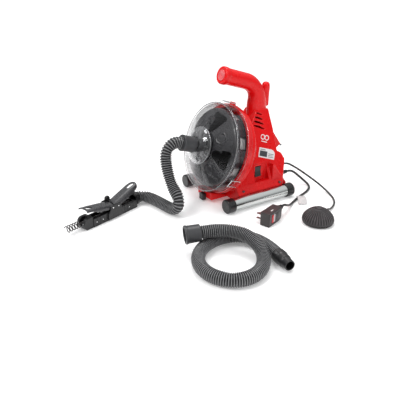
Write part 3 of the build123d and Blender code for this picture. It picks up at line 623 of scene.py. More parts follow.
AIR = [(0.052, 0.126, 0.076), (0.052, 0.14, 0.076), (0.06, 0.155, 0.068), (0.076, 0.175, 0.053), (0.094, 0.194, 0.036),
       (0.118, 0.209, 0.02), (0.144, 0.214, 0.008), (0.17, 0.208, 0.0029), (0.194, 0.195, 0.0028), (0.215, 0.177, 0.0028),
       (0.23, 0.155, 0.0028), (0.24, 0.133, 0.0045), (0.24709, 0.11158, 0.013), (0.25256, 0.09869, 0.013)]
SPARE = [(0.2295, -0.2705, 0.048), (0.236, -0.25, 0.049), (0.244, -0.226, 0.047), (0.255, -0.203, 0.0445), (0.274, -0.186, 0.0415),
         (0.298, -0.179, 0.037), (0.324, -0.178, 0.031), (0.349, -0.186, 0.0225), (0.372, -0.206, 0.0162), (0.386, -0.233, 0.0157),
         (0.389, -0.262, 0.0157), (0.379, -0.289, 0.0157), (0.358, -0.308, 0.0157), (0.331, -0.318, 0.0157), (0.302, -0.317, 0.0157),
         (0.273, -0.305, 0.0157), (0.25, -0.284, 0.0157), (0.236, -0.26, 0.0157), (0.228, -0.233, 0.0157), (0.228, -0.205, 0.0157),
         (0.237, -0.179, 0.0157), (0.254, -0.16, 0.0157), (0.277, -0.149, 0.0157), (0.302, -0.145, 0.0157), (0.329, -0.146, 0.0157),
         (0.355, -0.151, 0.0165)]

guide, guide_line, guide_len = corrugated("guide_hose_tube", GUIDE, 15.5, 12.1, 6.0, HOSE, "machine", ("guide_hose",))
spare, spare_line, spare_len = corrugated("spare_hose_tube", SPARE, 15.4, 13.0, 4.35, HOSE2, "machine", ("spare_hose",))


def plain_cord(name, pts, r, mat, node):
    o = nurbs(name, pts)
    o.data.bevel_depth = r * MM
    o.data.bevel_resolution = 5
    o.data.use_fill_caps = True
    o.data.materials.append(mat)
    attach(o, "machine")
    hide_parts(node)
    return o


mains = plain_cord("mains_cord_lead", MAINS, 3.25, CORD, "mains_cord")
air = plain_cord("air_hose_tube", AIR, 2.75, AIRHOSE, "air_hose")


def line_len(pts):
    l = read_line(pts)
    return float(np.linalg.norm(np.diff(l, axis=0), axis=1).sum())


# ------------------------------------------------------------------ housing halves with the carrying handle
def grip_line():
    """Centre line of the grip: along the grip, round the bend, down the neck."""
    gs, gc = math.sin(math.radians(16)), math.cos(math.radians(16))
    corner = Vector((0, 58, 303.5))
    front = corner + Vector((0, -gc, gs)) * 123.0
    R = 58.0
    d1, d2 = Vector((0, gc, -gs)), Vector((0, 0, -1))
    ang = d1.angle(d2)
    tl = R * math.tan(ang / 2)
    a, b = corner - d1 * tl, corner + d2 * tl
    nrm = Vector((0, 0, -1)) - d1 * d1.dot(Vector((0, 0, -1)))
    centre = a + nrm.normalized() * R
    pts = [front.lerp(a, k / 30) for k in range(30)]
    va = a - centre
    for k in range(40):
        pts.append(centre + Matrix.Rotation(-ang * k / 40, 4, "X") @ va)
    end = Vector((0, 58, 236.5))
    pts += [b.lerp(end, k / 16) for k in range(17)]
    return pts


def full_handle():
    pts = grip_line()
    P = np.array([tuple(p) for p in pts])
    T = np.gradient(P, axis=0)
    T /= np.linalg.norm(T, axis=1)[:, None]
    n = 72
    verts, faces = [], []
    for p, t in zip(P, T):
        side = np.array([1.0, 0, 0])
        other = np.cross(t, side)
        k = min(1.0, max(0.0, (300 - p[2]) / 56.0)) if p[1] > 30 else 0.0
        k = k * k * (3 - 2 * k)
        rx, ry = 21.5 + 0.5 * k, 21.5 + 8.5 * k
        for i in range(n):
            a = 2 * math.pi * i / n
            verts.append(Vector(p + side * rx * math.cos(a) + other * ry * math.sin(a)) * MM)
    m = len(P)
    for i in range(m - 1):
        for k in range(n):
            k2 = (k + 1) % n
            faces.append((i * n + k, i * n + k2, (i + 1) * n + k2, (i + 1) * n + k))
    faces.append(tuple(range(n))[::-1])
    faces.append(tuple((m - 1) * n + k for k in range(n)))
    tube = new_obj("h_tube", verts, faces)
    gs, gc = math.sin(math.radians(16)), math.cos(math.radians(16))
    front = pts[0]
    EM = basis(front, (1, 0, 0), Vector((0, gs, gc)), Vector((0, -gc, gs)))
    prof = [(0, -22), (21.2, -22), (21.6, -17), (22.3, -13.5), (23.2, -10), (23.4, -6), (23.2, -2), (22.4, 0.6), (20.6, 2.2), (18.2, 2.5), (17.0, 1.7), (16.2, 1.2), (0, 1.2)]
    end = lathe("h_end", prof, EM, n=72)
    peg = lathe("h_peg", [(0, 242), (10.3, 242), (10.4, 262), (10.6, 280), (11.4, 290), (11.2, 297), (10.2, 301.5), (7.6, 305.4), (4, 307), (0, 307.4)], WORLD @ pos(0, 88, 0), n=48)
    web = box_obj("h_web", -6.5, 6.5, 62, 90, 238, 281, WORLD)
    return [tube, end, peg, web]


def halved_handle(side):
    o = join(full_handle(), "handle_tmp")
    bm = bmesh.new()
    bm.from_mesh(o.data)
    bmesh.ops.remove_doubles(bm, verts=bm.verts, dist=0.000002)
    geom = bm.verts[:] + bm.edges[:] + bm.faces[:]
    bmesh.ops.bisect_plane(bm, geom=geom, plane_co=(0.00015 * side, 0, 0), plane_no=(-side, 0, 0), clear_outer=True, dist=1e-7)
    bmesh.ops.holes_fill(bm, edges=[e for e in bm.edges if e.is_boundary], sides=0)
    bmesh.ops.recalc_face_normals(bm, faces=bm.faces)
    bm.to_mesh(o.data)
    bm.free()
    return o


def facet_cut(name, p, q, thick, depth):
    """A slot cutter between two points of the side facet."""
    p, q = Vector(p), Vector(q)
    h = (q - p).normalized()
    u = FN.cross(h)
    L = (q - p).length
    return box_obj(name, -thick / 2, L + thick / 2, -thick / 2, thick / 2, -depth, 4, basis(p, h, u, FN), bevel=0.0)


FN = Vector((0.955, 0, 0.296)).normalized()
FU = Vector((-0.296, 0, 0.955)).normalized()
FH = Vector((0, 1, 0))
VENTS = [((25.9, 45.0, 229.9), (27.3, 56.1, 225.1), 3.0),
         ((28.8, 37.1, 220.3), (31.1, 56.1, 213.1), 3.2),
         ((32.1, 32.7, 209.7), (35.0, 57.6, 200.3), 3.2),
         ((35.8, 33.4, 197.9), (39.0, 58.6, 187.5), 3.2)]


def housing(side, name, node):
    shell = cad_copy(name + "_a", node)
    handle = halved_handle(side)
    cutters = []
    for p, q, th in VENTS:
        if side < 0:
            p, q = (-p[0], p[1], p[2]), (-q[0], q[1], q[2])
        h = (Vector(q) - Vector(p)).normalized()
        nn = Vector((FN.x * side, 0, FN.z))
        L = (Vector(q) - Vector(p)).length
        cutters.append(box_obj("v", -th / 2, L + th / 2, -th / 2, th / 2, -9, 6, basis(p, h, nn.cross(h), nn)))
        if side < 0:
            pass
    cut(shell, cutters)
    o = join([shell, handle], name)
    moulded(o, 1.2, 9, 0.5)
    return finish_piece(o, RED, "machine", (node, "carry_handle") if side > 0 else (node,))


gs_, gc_ = math.sin(math.radians(16)), math.cos(math.radians(16))
GE = basis(grip_line()[0], (1, 0, 0), Vector((0, gs_, gc_)), Vector((0, -gc_, gs_)))
# the end disc of the grip carries the painted-highlight red
ge = lathe("grip_end_disc", [(0, 0.9), (13.2, 0.9), (13.8, 0.9), (13.8, 2.2), (13.0, 2.9), (9.0, 3.1), (7.8, 2.3), (0, 2.3)], GE, n=64)
finish_piece(ge, REDEND_HIGHLIGHT, "machine", (), sharp=50)
hk = Vector((0, 12.5, -8.0)).normalized()
hook = lathe("fin_hook_pin", [(0, 4.0), (2.6, 4.0), (2.7, 17.6), (1.9, 18.7), (0, 18.7)], basis((0, 146, 122.5), (1, 0, 0), hk.cross(Vector((1, 0, 0))), hk), n=32)
finish_piece(hook, DARKSTEEL, "machine", (), sharp=40)
housing(1, "housing_half_right", "housing_shell_right")
housing(-1, "housing_half_left", "housing_shell_left")

# printed label and a plain round mark on the right-hand facet
def facet(origin, turn, lift):
    h = FH * math.cos(math.radians(turn)) + FU * math.sin(math.radians(turn))
    u = FN.cross(h)
    o = Vector(origin) + FN * lift
    return basis(o, h, u, FN)


LF = facet((59.3, 56, 122), -19, 0.0)
def plate(name, pts, z0, z1, M_):
    n = len(pts)
    v = [Vector((x, y, z0)) for x, y in pts] + [Vector((x, y, z1)) for x, y in pts]
    f = [tuple(range(n))[::-1], tuple(range(n, 2 * n))] + [(k, (k + 1) % n, n + (k + 1) % n, n + k) for k in range(n)]
    o = new_obj(name, v, f)
    add_mod(o, "BEVEL", width=0.12, segments=2, limit_method="ANGLE")
    apply_mods(o)
    o.data.transform(M_)
    return o


corner = [(28 - 15 * (1 - math.cos(t)), 13.5 - 12 * (1 - math.sin(t))) for t in np.linspace(0, math.pi / 2, 9)]
lab = plate("rating_label", [(-28, -13.5), (27, -13.5), (28, -12.5)] + corner + [(-27, 13.5), (-28, 12.5)], -1.5, 0.35, LF)
finish_piece(lab, LABEL, "machine", (), sharp=40)
win = box_obj("rating_label_panel", -25, 1, -10, 5.5, -1.2, 0.55, LF, bevel=0.12)
finish_piece(win, LABELDARK, "machine", (), sharp=40)
band = [box_obj(f"b{i}", x0, x1, y0, y1, -1.2, 0.5, LF, bevel=0.08) for i, (x0, x1, y0, y1) in
        enumerate(((5, 24, -9, -7.6), (5, 21, -4.8, -3.4), (5, 24, -0.6, 0.8), (-25, -6, 8, 9.6)))]
finish_piece(join(band, "rating_label_lines"), LABELDARK, "machine", (), sharp=40)
LM = facet((46.6, 54, 163), -19, 0.0)
mark = [lathe("m0", [(5.2, -1.2), (7.4, -1.2), (7.4, 0.45), (5.2, 0.45)], LM @ pos(-5.5, 3, 0), n=40),
        lathe("m1", [(5.2, -1.2), (7.4, -1.2), (7.4, 0.45), (5.2, 0.45)], LM @ pos(8.5, 3, 0), n=40),
        box_obj("m2", -9, 11, -10.2, -8.0, -1.2, 0.45, LM, bevel=0.1)]
finish_piece(join(mark, "round_print_mark"), PRINT, "machine", (), sharp=40)

# ------------------------------------------------------------------ parts kept from the frame or moulded from it
refine("front_ring", RED_RING, 1.1, 3)
refine("skid_caps_right", CAPBLACK, 0.8, 6)
refine("skid_caps_left", CAPBLACK, 0.8, 6)
refine("hose_cuff", CUFFGREY, 0.7, 4)
refine("spare_hose_cuff", CUFFGREY, 0.7, 4)
refine("spare_hose_nozzle", NOZZLE, 0.6, 3)
refine("front_bumper", BLACK, 0.6, 6)
refine("switch_body", RED, 0.35, 1)
refine("switch_rocker", BLACK, 0.4, 12)
refine("plug_body", PLUG, 0.6, 5)
refine("plug_reset_button", RBUTTON, 0.35, 3)
refine("plug_test_button", GBUTTON, 0.35, 3)
refine("hose_clamp", FEEDBLACK, 0.6, 2)

refine("drum_front_shell", DRUMBLACK, 0.9, 9)

for n in ("skid_tube_right", "skid_tube_left"):
    paint(n, CHROME)
paint("clear_cover", GLASS)
paint("nose_dome", GLASS2)
for n in ("latch_bail_top", "latch_bail_left", "latch_bail_right"):
    paint(n, WIRE)
for n in ("drum_back_plate", "bearing_bulkhead", "air_switch"):
    paint(n, BLACK)
paint("nose_bearing_plate", DARKSTEEL)
paint("drum_cable_guide", DARKSTEEL)
for n in ("drum_shaft", "shaft_bearings", "gearbox_plate", "motor_can", "motor_pinion", "lever_pins", "lever_springs", "advance_roller", "retract_roller"):
    paint(n, STEEL)
paint("housing_screws", DARKSTEEL)
paint("drum_gear", NYLON)
paint("motor_armature", COPPER)
paint("spring_tip", SPRING)
paint("plug_prongs", BRASS)

# bright bead along the cover's front rim and rear edge, and round the hub: whitish clear pieces that paint highlights
# on the clear rims
def torus(name, R, z, r, M_, n=160):
    return lathe(name, [(R + r * math.cos(t), z + r * math.sin(t)) for t in np.linspace(0, 2 * math.pi, 12, endpoint=False)], M_, n=n)


bead = torus("cover_rim_bead", 118.6, 0.6, 1.0, DL)
finish_piece(bead, BEAD_HIGHLIGHT, "machine", ())
edge = torus("cover_rim_edge", 120.3, -1.6, 0.55, DL)
finish_piece(edge, EDGE, "machine", ())
back_edge = torus("cover_rear_edge", 120.2, -34.2, 0.8, DL)
finish_piece(back_edge, BEAD_HIGHLIGHT, "machine", ())
hb = lathe("cover_hub_bead", [(49.6 + 0.9 * math.cos(t), 33.0 + 0.9 * math.sin(t)) for t in np.linspace(0, 2 * math.pi, 12, endpoint=False)], DL, n=120)
finish_piece(hb, BEAD_HIGHLIGHT, "machine", ())
# the ribs on the nose dome use the same whitish bead material, a painted highlight
ribs = []
for k in range(12):
    ang = math.radians(30 * k + 8)
    ribs.append(box_obj(f"r{k}", 26, 44.5, -0.6, 0.6, 34.2, 36.4, DL @ Matrix.Rotation(ang, 4, "Z"), bevel=0.3))
finish_piece(join(ribs, "nose_dome_ribs"), BEAD_HIGHLIGHT, "machine", (), sharp=40)

# hose cuff rings
for nm, M_, r_a, zs in (("hose_cuff_rings", DL, 20.9, (55.5, 84.5)),):
    rr = [lathe(f"cr{i}", [(r_a + 0.75 * math.cos(t), z + 0.75 * math.sin(t)) for t in np.linspace(0, 2 * math.pi, 10, endpoint=False)], M_, n=80) for i, z in enumerate(zs)]
    finish_piece(join(rr, nm), CUFFGREY, "machine", ())

# wound drain cable in the drum
turns = []
rng = np.random.default_rng(7)
for i in range(6):
    for j in range(5):
        R = 65.4 + 6.4 * i
        z = -44.6 + 6.6 * j + (3.2 if i % 2 else 0)
        if z > -15.0:
            continue
        tx_, ty_ = rng.normal(0, 0.003, 2)
        prof = [(R + 3.15 * math.cos(t), 3.15 * math.sin(t)) for t in np.linspace(0, 2 * math.pi, 10, endpoint=False)]
        turns.append(lathe(f"t{i}{j}", prof, DL @ pos(0, 0, z) @ Matrix.Rotation(tx_, 4, "X") @ Matrix.Rotation(ty_, 4, "Y"), n=110))
coil = finish_piece(join(turns, "wound_cable"), COILSTEEL, "drum", ("cable_coil",))

# a thin near-black ring just behind the drum face paints the shade inside the drum, so its windows show dark
shade_sheet = lathe("drum_shade_sheet", [(45, -11.0), (99.5, -11.0), (99.8, -11.5), (99.5, -11.9), (45, -11.9), (44.6, -11.5)], DL, n=110)
finish_piece(shade_sheet, DRUM_SHADE_SHEET, "drum", ())

# raised round dishes on the drum's face, between its windows, and the ribbed boss of the cable outlet
dishes = []
CN = Vector((25, 0, 62)).normalized()
for k in range(4):
    ang = math.radians(-57 + 90 * k)
    rot = Matrix.Rotation(ang, 4, "Z")
    fr = basis((66, 0, 9.4), (CN.z, 0, -CN.x), (0, 1, 0), CN)
    fr = DL @ rot @ (Matrix.Scale(1 / MM, 4) @ fr)
    dishes.append(lathe(f"dish{k}", [(0, -1.2), (8.6, -1.2), (10.2, -0.6), (12.2, 1.6), (14.2, 2.4), (16.0, 1.8), (17.2, -0.6), (17.2, -2.2), (0, -2.2)], fr, n=56))
for k in range(5):
    rr = 4.5 + 2.2 * k
    fr = DL @ Matrix.Rotation(math.radians(98), 4, "Z") @ (Matrix.Scale(1 / MM, 4) @ basis((70, 0, 8.0), (CN.z, 0, -CN.x), (0, 1, 0), CN))
    dishes.append(lathe(f"boss{k}", [(rr - 0.7, 0), (rr + 0.7, 0), (rr + 0.6, 3.6 - 0.3 * k), (rr, 4.2 - 0.3 * k), (rr - 0.6, 3.6 - 0.3 * k)], fr, n=48))
finish_piece(join(dishes, "drum_face_dishes"), DRUMBLACK, "drum", (), sharp=50)

# ------------------------------------------------------------------ wound-wire cable end and strain reliefs
def helix_wire(name, M, x0, x1, R, r, pitch, nseg=8, per=20):
    n = int((x1 - x0) / pitch * per)
    P = np.array([[x0 + (x1 - x0) * i / n, R * math.cos(2 * math.pi * i / per), R * math.sin(2 * math.pi * i / per)] for i in range(n + 1)])
    T, N, B = frames_along(P)
    verts, faces = [], []
    for i in range(n + 1):
        for k in range(nseg):
            a = 2 * math.pi * k / nseg
            verts.append(M @ Vector(P[i] + r * (math.cos(a) * N[i] + math.sin(a) * B[i])))
    for i in range(n):
        for k in range(nseg):
            k2 = (k + 1) % nseg
            faces.append((i * nseg + k, i * nseg + k2, (i + 1) * nseg + k2, (i + 1) * nseg + k))
    faces.append(tuple(range(nseg))[::-1])
    faces.append(tuple(n * nseg + k for k in range(nseg)))
    return new_obj(name, verts, faces)


core = lathe("cable_core", [(0, 15), (2.0, 15), (2.0, 181.0), (0, 181.0)], AFL @ pos(0, 0, 18) @ rotY(90), n=20)
wrap = helix_wire("cable_wrap", AFL @ pos(0, 0, 18), 15.5, 180.5, 2.35, 0.82, 1.75)
finish_piece(join([core, wrap], "wound_cable_end"), SPRING, "cable_tip", ("drain_cable_end",))


def relief(name, M, prof, mat, node, grooves, r_at):
    """A tapered strain relief with moulded ribs."""
    pts = list(prof)
    o = lathe(name, pts, M, n=48)
    parts_ = [o]
    for i, z in enumerate(grooves):
        r = r_at(z)
        parts_.append(lathe(f"{name}{i}", [(r - 0.6, z - 0.9), (r + 0.55, z - 0.6), (r + 0.7, z), (r + 0.55, z + 0.6), (r - 0.6, z + 0.9)], M, n=48))
    return finish_piece(join(parts_, name), mat, BODY_OF[node], (node,), sharp=50)


RM = basis((56, 0, 51), (1, 0, 0), (0, 0, -1), (0, 1, 0))
relief("mains_inlet_boot", RM, [(3.3, 112), (5.9, 112), (5.9, 118.2), (7.3, 118.3), (7.4, 121.2), (5.7, 124), (4.3, 139.4), (3.3, 140)], CORD,
       "cord_strain_relief", (126, 129, 132, 135), lambda z: 5.5 - (z - 124) * 0.08)
AM = basis((52, 0, 76), (1, 0, 0), (0, 0, -1), (0, 1, 0))
relief("air_inlet_gland", AM, [(2.8, 113.5), (4.8, 113.5), (4.8, 118.2), (6.4, 118.3), (6.5, 120.3), (4.3, 121.2), (4.1, 125.6), (2.8, 126)], CORD,
       "air_hose_gland", (122.6, 124.4), lambda z: 4.0)
PM = PLL @ pos(0, 0, 25) @ rotY(90)
relief("plug_cord_boot", PM, [(3.2, 24.2), (5.8, 24.2), (5.8, 30.2), (8.6, 30.6), (8.8, 37), (7.0, 39.5), (5.2, 51.2), (3.3, 52)], CORD,
       "plug_strain_relief", (41, 43.6, 46.2, 48.8), lambda z: 6.7 - (z - 39.5) * 0.14)
# plug: white mark on top, bright rating panel edge
pm = box_obj("plug_print_mark", -9, 1, -5.5, -2.5, 35.0, 36.12, PLL, bevel=0.2)
finish_piece(pm, PRINT, "machine", (), sharp=40)
pr = box_obj("plug_side_panel", 3.2, 22, -14.35, -13.0, 10, 30, PLL, bevel=0.5)
finish_piece(pr, PLUG, "machine", (), sharp=40)


# ------------------------------------------------------------------ autofeed
def arch_grid(stations, nv=28, n=3.0):
    """stations: x, half width, bottom z, crown z, and how far the edge corners run on past x."""
    verts, faces = [], []
    for x, w, zb, h, ext in stations:
        for k in range(nv + 1):
            t = -1 + 2 * k / nv
            ph = math.pi / 2 * t
            y = w * math.copysign(abs(math.sin(ph)) ** (2 / n), ph)
            z = zb + (h - zb) * max(0.0, math.cos(ph)) ** (2 / n)
            verts.append(Vector((x + ext * abs(t) ** 2, y, z)))
    m = nv + 1
    for i in range(len(stations) - 1):
        for k in range(nv):
            faces.append((i * m + k, i * m + k + 1, (i + 1) * m + k + 1, (i + 1) * m + k))
    return verts, faces


def capsule(name, cx, cy, length, width, z0, z1):
    n = 16
    pts = []
    hl = length / 2 - width / 2
    for k in range(n + 1):
        a = -math.pi / 2 + math.pi * k / n
        pts.append((cx + hl + width / 2 * math.cos(a), cy + width / 2 * math.sin(a)))
    for k in range(n + 1):
        a = math.pi / 2 + math.pi * k / n
        pts.append((cx - hl + width / 2 * math.cos(a), cy + width / 2 * math.sin(a)))
    m = len(pts)
    verts = [Vector((x, y, z0)) for x, y in pts] + [Vector((x, y, z1)) for x, y in pts]
    faces = [tuple(range(m))[::-1], tuple(range(m, 2 * m))] + [(k, (k + 1) % m, m + (k + 1) % m, m + k) for k in range(m)]
    return new_obj(name, verts, faces)


def make_lever(name, M, stations, slot_x, slot_l, slot_w, slot_y, body, node, tabs=True):
    verts, faces = arch_grid(stations)
    o = new_obj(name, verts, faces)
    add_mod(o, "SOLIDIFY", thickness=2.3, offset=-1.0, use_even_offset=False)
    apply_mods(o)
    # solidify must grow inwards
    cut(o, [capsule("c", slot_x, slot_y, slot_l, slot_w, -0.5, 30)])
    ex = []
    for sy in (-1, 1):
        ex.append(lathe(f"hub{sy}", [(2.1, 15.0), (5.6, 15.0), (5.6, 18.2), (4.6, 18.6), (2.1, 18.6)], rotX(-90 * sy), n=32))
        ex.append(box_obj(f"tab{sy}", 32.5, 39.5, 15.1 if sy > 0 else -17.3, 17.3 if sy > 0 else -15.1, -8.4, 0, Matrix.Identity(4), bevel=0.6))
    ex.append(box_obj("rib", 16, slot_x - slot_l / 2 - 8, -0.9, 0.9, 1.0, 5.4, Matrix.Identity(4), bevel=0.3))
    o = join([o] + ex, name)
    o.data.transform(M)
    moulded(o, 0.62, 2)
    return finish_piece(o, LEVERBLACK, body, (node,))


adv_st = [(-5.5, 17.4, -3.5, 6.8, 0), (-4.0, 17.5, -5.5, 7.6, 0), (0, 17.5, -6, 8.2, 0), (18, 17.5, -6, 8.5, 0), (30, 17.5, -6, 8.2, 0), (40, 17.5, -5.6, 7.6, 0),
          (50, 17.5, -4.4, 6.8, 0), (58, 17.5, -2.9, 6.1, 0), (66, 17.5, -2.3, 5.2, 0), (74, 17.5, -2.5, 4.5, 0), (78, 17.5, -2.7, 4.1, 0), (80.5, 17.5, -2.8, 3.8, 0)]
ret_st = [(-5.5, 17.4, -3.5, 6.8, 0), (-4.0, 17.5, -5.5, 7.6, 0), (0, 17.5, -6, 8.2, 0), (20, 17.5, -6, 8.5, 0), (45, 17.5, -6, 8.5, 0), (62, 17.3, -5.6, 8.3, 0),
          (70, 16.6, -4.6, 8.0, 0), (76, 15.0, -3.6, 7.6, 0), (80.5, 12.4, -2.6, 7.0, 0), (83.6, 9.2, -1.4, 6.2, 0), (85.4, 5.6, 0.2, 5.2, 0), (86.1, 2.2, 1.8, 4.2, 0)]
make_lever("advance_lever_arm", LEV_ADV, adv_st, 65, 19, 11, 3.0, "advance_arm", "advance_lever")
# the far-reaching lever is turned half round, so its camera side is its own -y side
make_lever("retract_lever_arm", LEV_RET, ret_st, 66, 21, 8.5, -2.0, "retract_arm", "retract_lever")

def arc(cx, cz, r, a0, a1, n=10):
    return [(cx + r * math.cos(math.radians(a0 + (a1 - a0) * k / n)), cz + r * math.sin(math.radians(a0 + (a1 - a0) * k / n))) for k in range(n + 1)]


# round-ended nose barrel with an open mouth
prof = [(150.2, 0.4)] + arc(177.0 - 10, 10.4, 10, -90, 0) + arc(177.0 - 13, 17.6, 13, 0, 90) + [(150.2, 30.6)]
v, f = [], []
for y in (-14.9, 14.9):
    v += [Vector((x, y, z)) for x, z in prof]
n_ = len(prof)
f = [tuple(range(n_)), tuple(range(2 * n_ - 1, n_ - 1, -1))] + [(k, (k + 1) % n_, n_ + (k + 1) % n_, n_ + k) for k in range(n_)]
nose_o = new_obj("autofeed_nose_barrel", v, f)
cut(nose_o, [lathe("mouth", [(0, -30), (6.7, -30), (6.7, 10), (0, 10)], pos(177.0, 0, 18.0) @ rotY(90), n=40),
             box_obj("slot", 177.0 - 19, 177.0 + 3, -6.4, 6.4, 18.0, 40, Matrix.Identity(4))])
nose_o.data.transform(AFL)
moulded(nose_o, 0.7, 10)
finish_piece(nose_o, FEEDBLACK, "machine", ("autofeed_nose",))

ab = cad_copy("ab", "autofeed_base")
cheeks = []
for sy in (-1, 1):
    y0, y1 = (18.9, 21.0) if sy > 0 else (-21.0, -18.9)
    yb0, yb1 = (14.5, 21.0) if sy > 0 else (-21.0, -14.5)
    v, f = [], []
    prof = [(52, 6), (106, 6), (104, 20), (97, 30), (95, 38), (91, 41), (66, 41), (62, 37), (60, 28), (54, 20)]
    for y in (y0, y1):
        v += [Vector((x, y, z)) for x, z in prof]
    n_ = len(prof)
    f = [tuple(range(n_)), tuple(range(2 * n_ - 1, n_ - 1, -1))] + [(k, (k + 1) % n_, n_ + (k + 1) % n_, n_ + k) for k in range(n_)]
    ch = new_obj(f"cheek{sy}", v, f)
    ch.data.transform(AFL)
    cheeks.append(ch)
    cheeks.append(box_obj(f"foot{sy}", 53, 105, yb0, yb1, 4, 19, AFL))
lug = [lathe("lug0", [(0, -15.2), (7.2, -15.2), (7.6, -13.5), (7.6, -10.5), (7.2, -8.8), (0, -8.8)], AFL @ pos(79.3, 0, 46.5) @ rotX(-90), n=32),
       box_obj("lug1", 77.9, 80.7, -14.6, -9.8, 33, 46, AFL)]
base_o = join([ab] + cheeks + lug, "autofeed_body")
moulded(base_o, 0.8, 4)
finish_piece(base_o, FEEDBLACK, "machine", ("autofeed_base",))
pins = []
for x, z, sy, r in ((88, 33, 1, 1.9), (70, 33, 1, 1.9), (88, 33, -1, 1.9), (70, 33, -1, 1.9)):
    pins.append(lathe("p", [(0, 20.6), (r, 20.6), (r, 21.5), (r - 0.8, 22.0), (0, 22.0)], AFL @ pos(x, 0, z) @ rotX(-90 * sy), n=24))
for x, z, sy in ((120, 12, 1), (140, 12, 1), (30, 12, 1), (120, 12, -1), (30, 12, -1)):
    pins.append(lathe("p", [(0, 15.4), (1.5, 15.4), (1.5, 16.4), (1.0, 16.8), (0, 16.8)], AFL @ pos(x, 0, z) @ rotX(-90 * sy), n=24))
for y in (8.5, -8.5):
    pins.append(lathe("p", [(0, 26.2), (1.6, 26.2), (1.6, 27.2), (1.1, 27.6), (0, 27.6)], AFL @ pos(150, y, 18) @ rotY(90), n=24))
finish_piece(join(pins, "autofeed_rivets"), WIRE, "machine", (), sharp=50)
# ribs along the autofeed's sides
gr = []
for x in (16, 26, 36, 46, 108, 118, 128, 138):
    for sy in (-1, 1):
        gr.append(box_obj("g", x - 0.8, x + 0.8, 15.6 if sy > 0 else -16.6, 16.6 if sy > 0 else -15.6, 3, 21, AFL, bevel=0.35))
finish_piece(join(gr, "autofeed_side_ribs"), FEEDBLACK, "machine", (), sharp=40)


# ------------------------------------------------------------------ pedal
def ribbed_dome():
    prof = [(39.0, 7.3), (40.0, 8.4), (40.2, 10.5), (39.9, 13), (39.2, 16), (38.1, 19), (36.5, 22), (34.3, 25), (31.6, 28), (28.4, 31), (24.8, 33.9),
            (21.0, 36.4), (17.0, 38.6), (13.6, 40.3), (11.6, 41.0), (10.4, 41.2), (10.0, 40.4), (10.0, 38.0)]
    n = 288
    verts, faces, rib = [], [], []
    for j, (r, z) in enumerate(prof):
        u = min(1.0, max(0.0, (z - 10.0) / 5.0)) * min(1.0, max(0.0, (41.0 - z) / 5.0))
        u = u * u * (3 - 2 * u)
        for k in range(n):
            a = 2 * math.pi * k / n
            w = 0.5 + 0.5 * math.cos(36 * a)
            d = u * 1.9 * (w ** 0.8 - 0.8)
            verts.append(PEDL @ Vector(((r + d * 0.75) * math.cos(a), (r + d * 0.75) * math.sin(a), z + d * 0.6)))
            # rib value drives the painted groove shade and crest highlight; 0.62 on the unribbed rim and top
            rib.append((1 - u) * 0.62 + u * w)
    m = len(prof)
    inner = [(35.4, 7.3), (36.2, 12), (34.0, 19), (28.0, 27.2), (20.5, 34.0), (10.0, 37.0)]
    for r, z in inner[::-1]:
        for k in range(n):
            a = 2 * math.pi * k / n
            verts.append(PEDL @ Vector((r * math.cos(a), r * math.sin(a), z)))
            rib.append(0.3)
    tot = m + len(inner)
    for j in range(tot):
        j2 = (j + 1) % tot
        for k in range(n):
            k2 = (k + 1) % n
            faces.append((j * n + k, j * n + k2, j2 * n + k2, j2 * n + k))
    o = new_obj("pedal_ribbed_dome", verts, faces)
    o.data.attributes.new("rib", "FLOAT", "POINT").data.foreach_set("value", np.array(rib, np.float32))
    return o


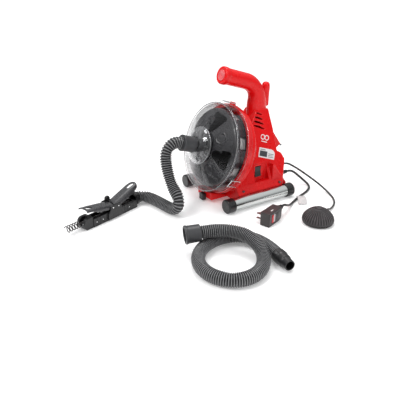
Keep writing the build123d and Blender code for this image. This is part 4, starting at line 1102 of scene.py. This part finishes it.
pb = lathe("pedal_foot_disc", [(0, 0.2), (31, 0.2), (33.6, 0.5), (36.0, 1.5), (37.8, 3.2), (39.0, 5.4), (39.4, 7.0), (0, 7.0)], PEDL, n=96)
nd_ = Vector((252 - PX, 100 - PY, 0)).normalized()
NIP = basis((PX, PY, 13), (0, 0, 1), nd_.cross(Vector((0, 0, 1))), nd_)
nip = lathe("pedal_nipple_body", [(0, 37.5), (7.2, 37.5), (7.0, 41.0), (5.9, 43.2), (5.6, 45.6), (4.9, 45.9), (4.8, 47.6), (3.0, 48.0), (0, 48.0)], NIP, n=40)
finish_piece(join([pb, nip], "pedal_base_moulded"), RUBBER_PLAIN, "machine", ("pedal_base",), sharp=45)
dome = ribbed_dome()
add_mod(dome, "SUBSURF", levels=1, render_levels=1)
apply_mods(dome)
finish_piece(dome, RUBBER, "machine", ("pedal_dome",))
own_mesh(dome)
pt = lathe("pedal_pressing_top", [(0, 44.9), (3, 44.8), (6, 44.3), (8.2, 43.3), (9.3, 42.1), (9.6, 40.6), (9.6, 38.9), (5, 38.9), (5, 36), (0, 36)], PEDL, n=64)
add_mod(pt, "BEVEL", width=0.0006, segments=2, limit_method="ANGLE")
apply_mods(pt)
finish_piece(pt, RUBBER_TOP, "pedal_pad", ("pedal_top",))

# ------------------------------------------------------------------ paper tag folded round the mains lead
tv, tf = [], []
n_u, n_v = 40, 10
T0 = Vector((141.5, 121, 0))
tx = Vector((0.80, -0.60, 0)).normalized()
ty = Vector((-tx.y, tx.x, 0))
prof = []
for i in range(n_u + 1):
    sfrac = i / n_u
    if sfrac < 0.3:
        q = sfrac / 0.3
        ang = math.radians(190 - 200 * q)
        prof.append((4.0 * math.cos(ang), 3.9 + 4.2 * math.sin(ang)))
    else:
        q = (sfrac - 0.3) / 0.7
        prof.append((4.0 + 40 * q, 3.2 + 9.0 * math.sin(math.pi * min(1, q * 1.15)) * (1 - 0.4 * q) + 1.5 * q))
prof = [(x, max(0.4, z)) for x, z in prof]
for i, (x, z) in enumerate(prof):
    for j in range(n_v + 1):
        v = -12 + 24 * j / n_v
        p = T0 + tx * x + ty * v + Vector((0, 0, z + (0.9 * math.sin(0.35 * v + i * 0.25) + 0.05 * v) * (i / n_u)))
        p.z = max(0.4, p.z)
        tv.append(p * MM)
for i in range(n_u):
    for j in range(n_v):
        q = i * (n_v + 1) + j
        tf.append((q, q + 1, q + n_v + 2, q + n_v + 1))
tag = new_obj("cord_paper_tag", tv, tf)
add_mod(tag, "SOLIDIFY", thickness=0.0004, offset=0.0)
apply_mods(tag)
finish_piece(tag, PAPER, "machine", ("cord_tag",))

print("lengths", round(guide_len, 4), round(spare_len, 4), round(line_len(MAINS), 4), round(line_len(AIR), 4))
